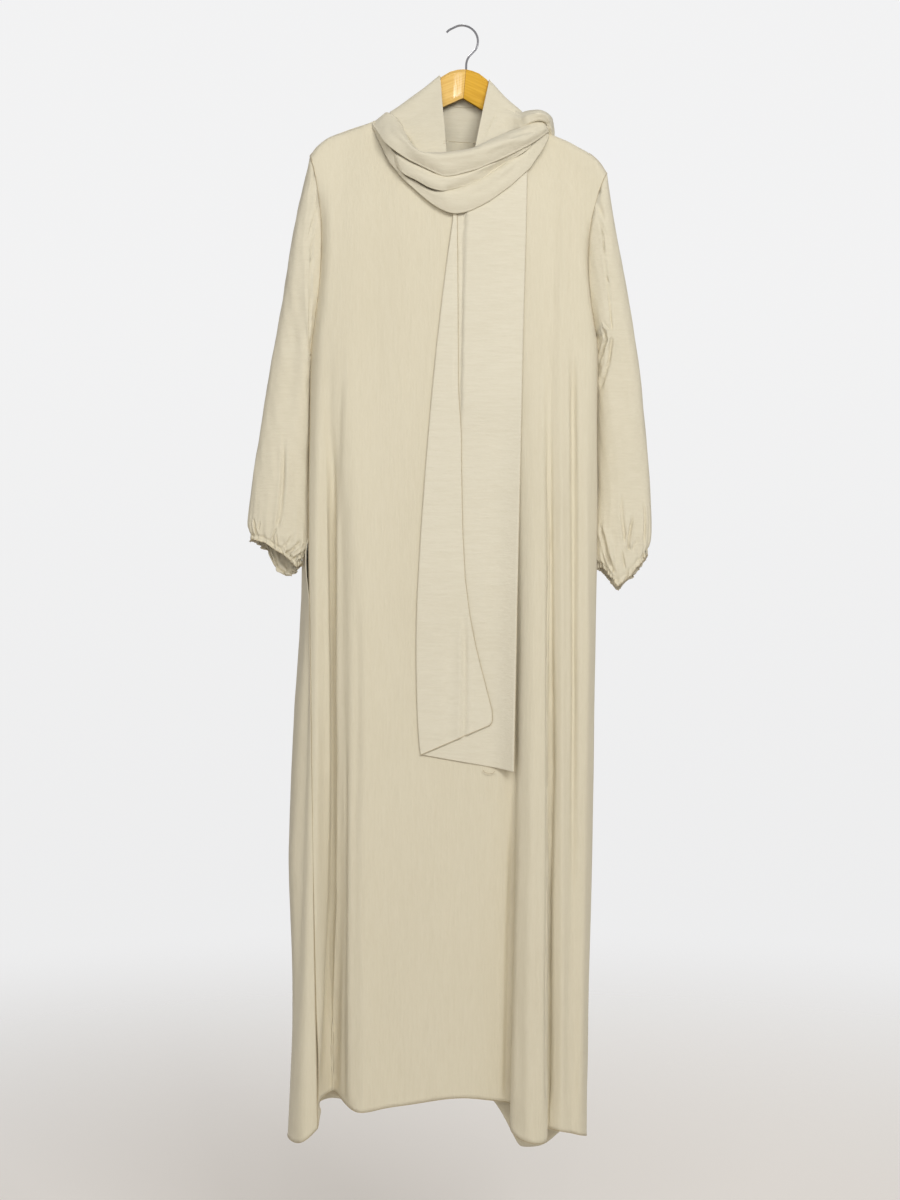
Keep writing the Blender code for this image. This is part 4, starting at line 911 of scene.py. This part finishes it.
tail = outer_skin("scarf_tail", "scarf_tail_cloth", TAIL_WALL)
cut_across(tail, 0.9, 2)
soften(tail, 3)
TAIL_CREASES = (
    (((464, 600), (464.6, 650), (464.6, 700), (463.6, 740)), 0.0034, 0.0034, (0.4, 0.02)),
    (((452, 610), (451, 680), (449, 744)), 0.007, 0.0012, (0.4, 0.05)),
    (((500, 300), (499, 440), (497, 600)), 0.012, 0.001, (0.4, 0.4)),
)
press(tail, TAIL_CREASES, TAIL_Y)
co, normals = places(tail)
px, py = picture_places(co)
behind = normals[:, 1] > 0
slot_x = np.interp(py, *zip(*SLOT))
step = ease((px - slot_x + 1.0) / 2.0) * ease((534 - px) / 40) * ease((440 - py) / 50) * behind
co[:, 1] -= WIDE_FORWARD * step
co[:, 0] -= WIDE_LEFT * step * ease((slot_x + 6 - px) / 6)
free_edge = ease((px - 452) / 6) * ease((440 - py) / 60) * ~behind
co[:, 0] -= FREE_LEFT * free_edge
co[:, 1] += FREE_BACK * free_edge
set_places(tail, co)
edge_lines = open_edges(tail)
as_cloth(tail, tail_crepe, TAIL_THICKNESS)
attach(tail, "root")
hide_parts("scarf_tail")
tab_line = [Vector((x, TAB_Y, z)) for x, z in seen(TAB, TAB_Y)]
# the tail's hem and the loop as cords of the darker hem crepe: painted shade along the edges
seam_and_shade_cord("scarf_tail_hem_and_shade", [*edge_lines, tab_line], SEAM_RADIUS, hem_shade_crepe)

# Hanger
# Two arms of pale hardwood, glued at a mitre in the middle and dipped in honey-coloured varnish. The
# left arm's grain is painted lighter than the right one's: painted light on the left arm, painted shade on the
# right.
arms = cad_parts["hanger_arms"]

# the mitre's top, how far it leans for each metre down, and the line of glue in it
JOINT_TOP = (0.0058, -0.064)
JOINT_LEAN = 0.086
GLUE_WIDTH = 0.0004
GLUE_COLOUR = (0.4, 0.18, 0.03, 1)
# how much an arm's grain falls for each metre outwards, and the grain's waves for each metre
GRAIN_SLOPE = 0.42
GRAIN_SCALE = (22.0, 90.0, 420.0)
# each arm's dark and light grain tone; the left arm's are painted lighter as painted light, the right arm's darker
# as painted shade
ARM_TONES_LIT_AND_SHADED = (((0.73, 0.44, 0.11), (0.84, 0.56, 0.18)), ((0.65, 0.345, 0.028), (0.75, 0.43, 0.045)))
STREAK_SCALE = (330.0, 0.0, 26.0)
UNDER_BACK = 0.0006
# near-black painted shade for the back of the cut under the arms
UNDER_SHADE_COLOUR = (0.05, 0.022, 0.01, 1)

wood, wood_tree, wood_shader = new_material("varnished_wood")


def wood_maths(operation, first, second):
    return maths(wood_tree, operation, first, second)


def wood_noise(place, scale, **sockets):
    """Noise on a place whose parts are stretched, each by its own scale."""
    parts = [wood_maths("MULTIPLY", part, factor) for part, factor in zip(place, scale)]
    stretched = shader_node(wood_tree, "CombineXYZ", **dict(zip("XYZ", parts))).outputs["Vector"]
    return shader_node(wood_tree, "TexNoise", Vector=stretched, Scale=1.0, **sockets).outputs["Fac"]


def wood_range(value, **sockets):
    return shader_node(wood_tree, "MapRange", Value=value, **sockets).outputs["Result"]


def wood_mix(factor, first, second):
    node = shader_node(wood_tree, "Mix", Factor=factor)
    node.data_type = "RGBA"
    feed(wood_tree, node.inputs[6], first)
    feed(wood_tree, node.inputs[7], second)
    return node.outputs[2]


wood_spot = shader_node(wood_tree, "TexCoord").outputs["Object"]
wood_x, wood_y, wood_z = shader_node(wood_tree, "SeparateXYZ", Vector=wood_spot).outputs
drop = wood_maths("ADD", wood_z, -JOINT_TOP[1])
joint_x = wood_maths("ADD", wood_maths("MULTIPLY", drop, JOINT_LEAN), JOINT_TOP[0])
from_joint = wood_maths("SUBTRACT", wood_x, joint_x)
reach_out = wood_maths("ABSOLUTE", from_joint, 0.0)
grain_rise = wood_maths("ADD", wood_z, wood_maths("MULTIPLY", reach_out, GRAIN_SLOPE))
grain = wood_noise((from_joint, wood_y, grain_rise), GRAIN_SCALE, Detail=4, Distortion=0.4)
lit_and_shaded_tones = [colour_ramp(wood_tree, grain, ((0.36, dark), (0.66, light))) for dark, light in ARM_TONES_LIT_AND_SHADED]
# the left arm takes the lighter tones, as painted light, and the right arm the darker ones, as painted shade
lit_and_shaded_halves = wood_mix(wood_maths("GREATER_THAN", from_joint, 0.0), *lit_and_shaded_tones)
glued_lit_and_shaded = wood_mix(wood_maths("LESS_THAN", reach_out, GLUE_WIDTH), lit_and_shaded_halves, GLUE_COLOUR)
# the cut under the arms turns to the light at its front edge, and is painted near black at the back: painted shade
# under the wood
true_side = shader_node(wood_tree, "NewGeometry").outputs["True Normal"]
side_x, side_y, side_z = shader_node(wood_tree, "SeparateXYZ", Vector=true_side).outputs
under = wood_maths("LESS_THAN", side_z, -0.5)
forward = wood_maths("SUBTRACT", side_y, under)
raised = wood_maths("ADD", side_z, wood_maths("MULTIPLY", under, 0.8))
turned = shader_node(wood_tree, "CombineXYZ", X=side_x, Y=forward, Z=raised).outputs["Vector"]
facing = shader_node(wood_tree, "VectorMath", Vector=turned)
facing.operation = "NORMALIZE"
at_back = wood_maths("GREATER_THAN", wood_y, UNDER_BACK)
wood_colour_lit_and_shaded = wood_mix(wood_maths("MULTIPLY", under, at_back), glued_lit_and_shaded, UNDER_SHADE_COLOUR)
# the varnish ran thicker in upright streaks left of the joint, where it mirrors the light
STREAK_LEVELS = ((0.0, 0.02), (0.3, 0.05), (0.42, 0.85), (0.8, 0.55), (0.88, 0.02))
across = wood_range(from_joint, From_Min=-0.024, From_Max=0.0)
in_streak = colour_ramp(wood_tree, across, [(spot, (level, level, level)) for spot, level in STREAK_LEVELS])
lowered = wood_range(wood_z, From_Min=-0.066, From_Max=-0.096, To_Min=0.15)
streaks = wood_noise((wood_x, wood_y, wood_z), STREAK_SCALE, Detail=2)
uneven_streak = wood_range(streaks, From_Min=0.4, From_Max=0.6, To_Min=0.35)
gloss = wood_maths("MULTIPLY", in_streak, wood_maths("MULTIPLY", lowered, uneven_streak))
shader_node(
    wood_tree, wood_shader, Roughness=0.45, Specular_IOR_Level=0.06, Coat_Roughness=0.06,
    Base_Color=wood_colour_lit_and_shaded, Normal=facing.outputs["Vector"], Coat_Weight=gloss,
)
for material_slot in arms.material_slots:
    material_slot.material = wood

# Hook
# Bright plated steel wire, 3.2 mm thick, bent to a loop and pressed into a hole in the joint.
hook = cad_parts["hanger_hook"]

steel, steel_tree, steel_shader = new_material("plated_steel")
steel_spot = shader_node(steel_tree, "TexCoord").outputs["Object"]
steel_noise = shader_node(steel_tree, "TexNoise", Vector=steel_spot, Scale=90, Detail=3).outputs["Fac"]
polish = shader_node(steel_tree, "MapRange", Value=steel_noise, To_Min=0.1, To_Max=0.16).outputs["Result"]
shader_node(steel_tree, steel_shader, Metallic=1.0, Base_Color=(0.24, 0.235, 0.245, 1), Roughness=polish)
for material_slot in hook.material_slots:
    material_slot.material = steel

# Studio
# A pale floor under the garment and a pale surround that glows by itself, painted a little darker towards the bottom
# as painted shade, with broad soft light from the front and above. The surround is only seen: it throws no light, so
# the lamps shape the folds.
FLOOR_Z = -1.95
FLOOR_RADIUS = 3.4
SURROUND_RADIUS = 9.0

bpy.ops.mesh.primitive_uv_sphere_add(segments=64, ring_count=32, radius=SURROUND_RADIUS)
surround = bpy.context.object
surround.name = "studio_surround"
surround.visible_diffuse = False
surround.visible_shadow = False
surround_paint, paint_tree, plain_shader = new_material("surround_paint")
paint_tree.nodes.remove(plain_shader)
height_spot = shader_node(paint_tree, "TexCoord").outputs["Object"]
height = shader_node(paint_tree, "SeparateXYZ", Vector=height_spot).outputs["Z"]
# the glow is painted darker towards the bottom: painted shade
shade = shader_node(paint_tree, "MapRange", Value=height, From_Min=-4.6, From_Max=1.2, To_Min=0.83, To_Max=0.89)
glow = shader_node(paint_tree, "Emission", Color=(1.0, 1.0, 1.005, 1), Strength=shade.outputs["Result"])
paint_tree.links.new(glow.outputs["Emission"], paint_tree.nodes["Material Output"].inputs["Surface"])
surround.data.materials.append(surround_paint)

bpy.ops.mesh.primitive_circle_add(vertices=96, radius=FLOOR_RADIUS, fill_type="NGON", location=(0, 0, FLOOR_Z))
floor = bpy.context.object
floor.name = "studio_floor"
floor_paint, floor_tree, floor_shader = new_material("floor_paint")
floor_spot = shader_node(floor_tree, "TexCoord").outputs["Object"]
from_middle = shader_node(floor_tree, "VectorMath", Vector=floor_spot)
from_middle.operation = "LENGTH"
fading = shader_node(
    floor_tree, "MapRange", Value=from_middle.outputs["Value"],
    From_Min=0.6, From_Max=FLOOR_RADIUS * 0.97, To_Min=1.0, To_Max=0.0,
)
fading.interpolation_type = "SMOOTHSTEP"
shader_node(
    floor_tree, floor_shader, Base_Color=(0.88, 0.845, 0.81, 1), Roughness=0.95, Specular_IOR_Level=0.0,
    Alpha=fading.outputs["Result"],
)
floor.data.materials.append(floor_paint)

world = bpy.data.worlds.new("world")
world.use_nodes = True
background = world.node_tree.nodes["Background"]
shader_node(world.node_tree, background, Color=(1.0, 0.955, 0.895, 1), Strength=0.3)
bpy.context.scene.world = world


def soft_light(name, place, target, size, power, colour=(1, 1, 1)):
    data = bpy.data.lights.new(name, "AREA")
    data.shape = "RECTANGLE"
    data.size, data.size_y = size
    data.energy = power
    data.color = colour
    lamp = bpy.data.objects.new(name, data)
    lamp.location = place
    lamp.rotation_euler = (Vector(target) - Vector(place)).to_track_quat("-Z", "Y").to_euler()
    lamp.visible_camera = False
    bpy.context.scene.collection.objects.link(lamp)


soft_light("key", (1.0, -2.7, 0.7), (0, 0, -0.45), (1.1, 0.9), 42, (0.985, 1.0, 1.0))
soft_light("front", (-0.3, -2.85, 0.2), (0, 0, -0.3), (1.8, 1.8), 29)
soft_light("low", (0.2, -2.2, -1.45), (0, 0, -1.35), (1.4, 0.6), 0.7, (1.0, 0.8, 0.55))
soft_light("gloss", (0.085, -2.7, 0.74), (0, 0, -0.09), (0.14, 0.5), 2.2)
soft_light("rear", (0.5, 2.8, 1.3), (0, 0, -0.7), (1.8, 1.2), 58)
bpy.context.scene.view_settings.view_transform = "Standard"
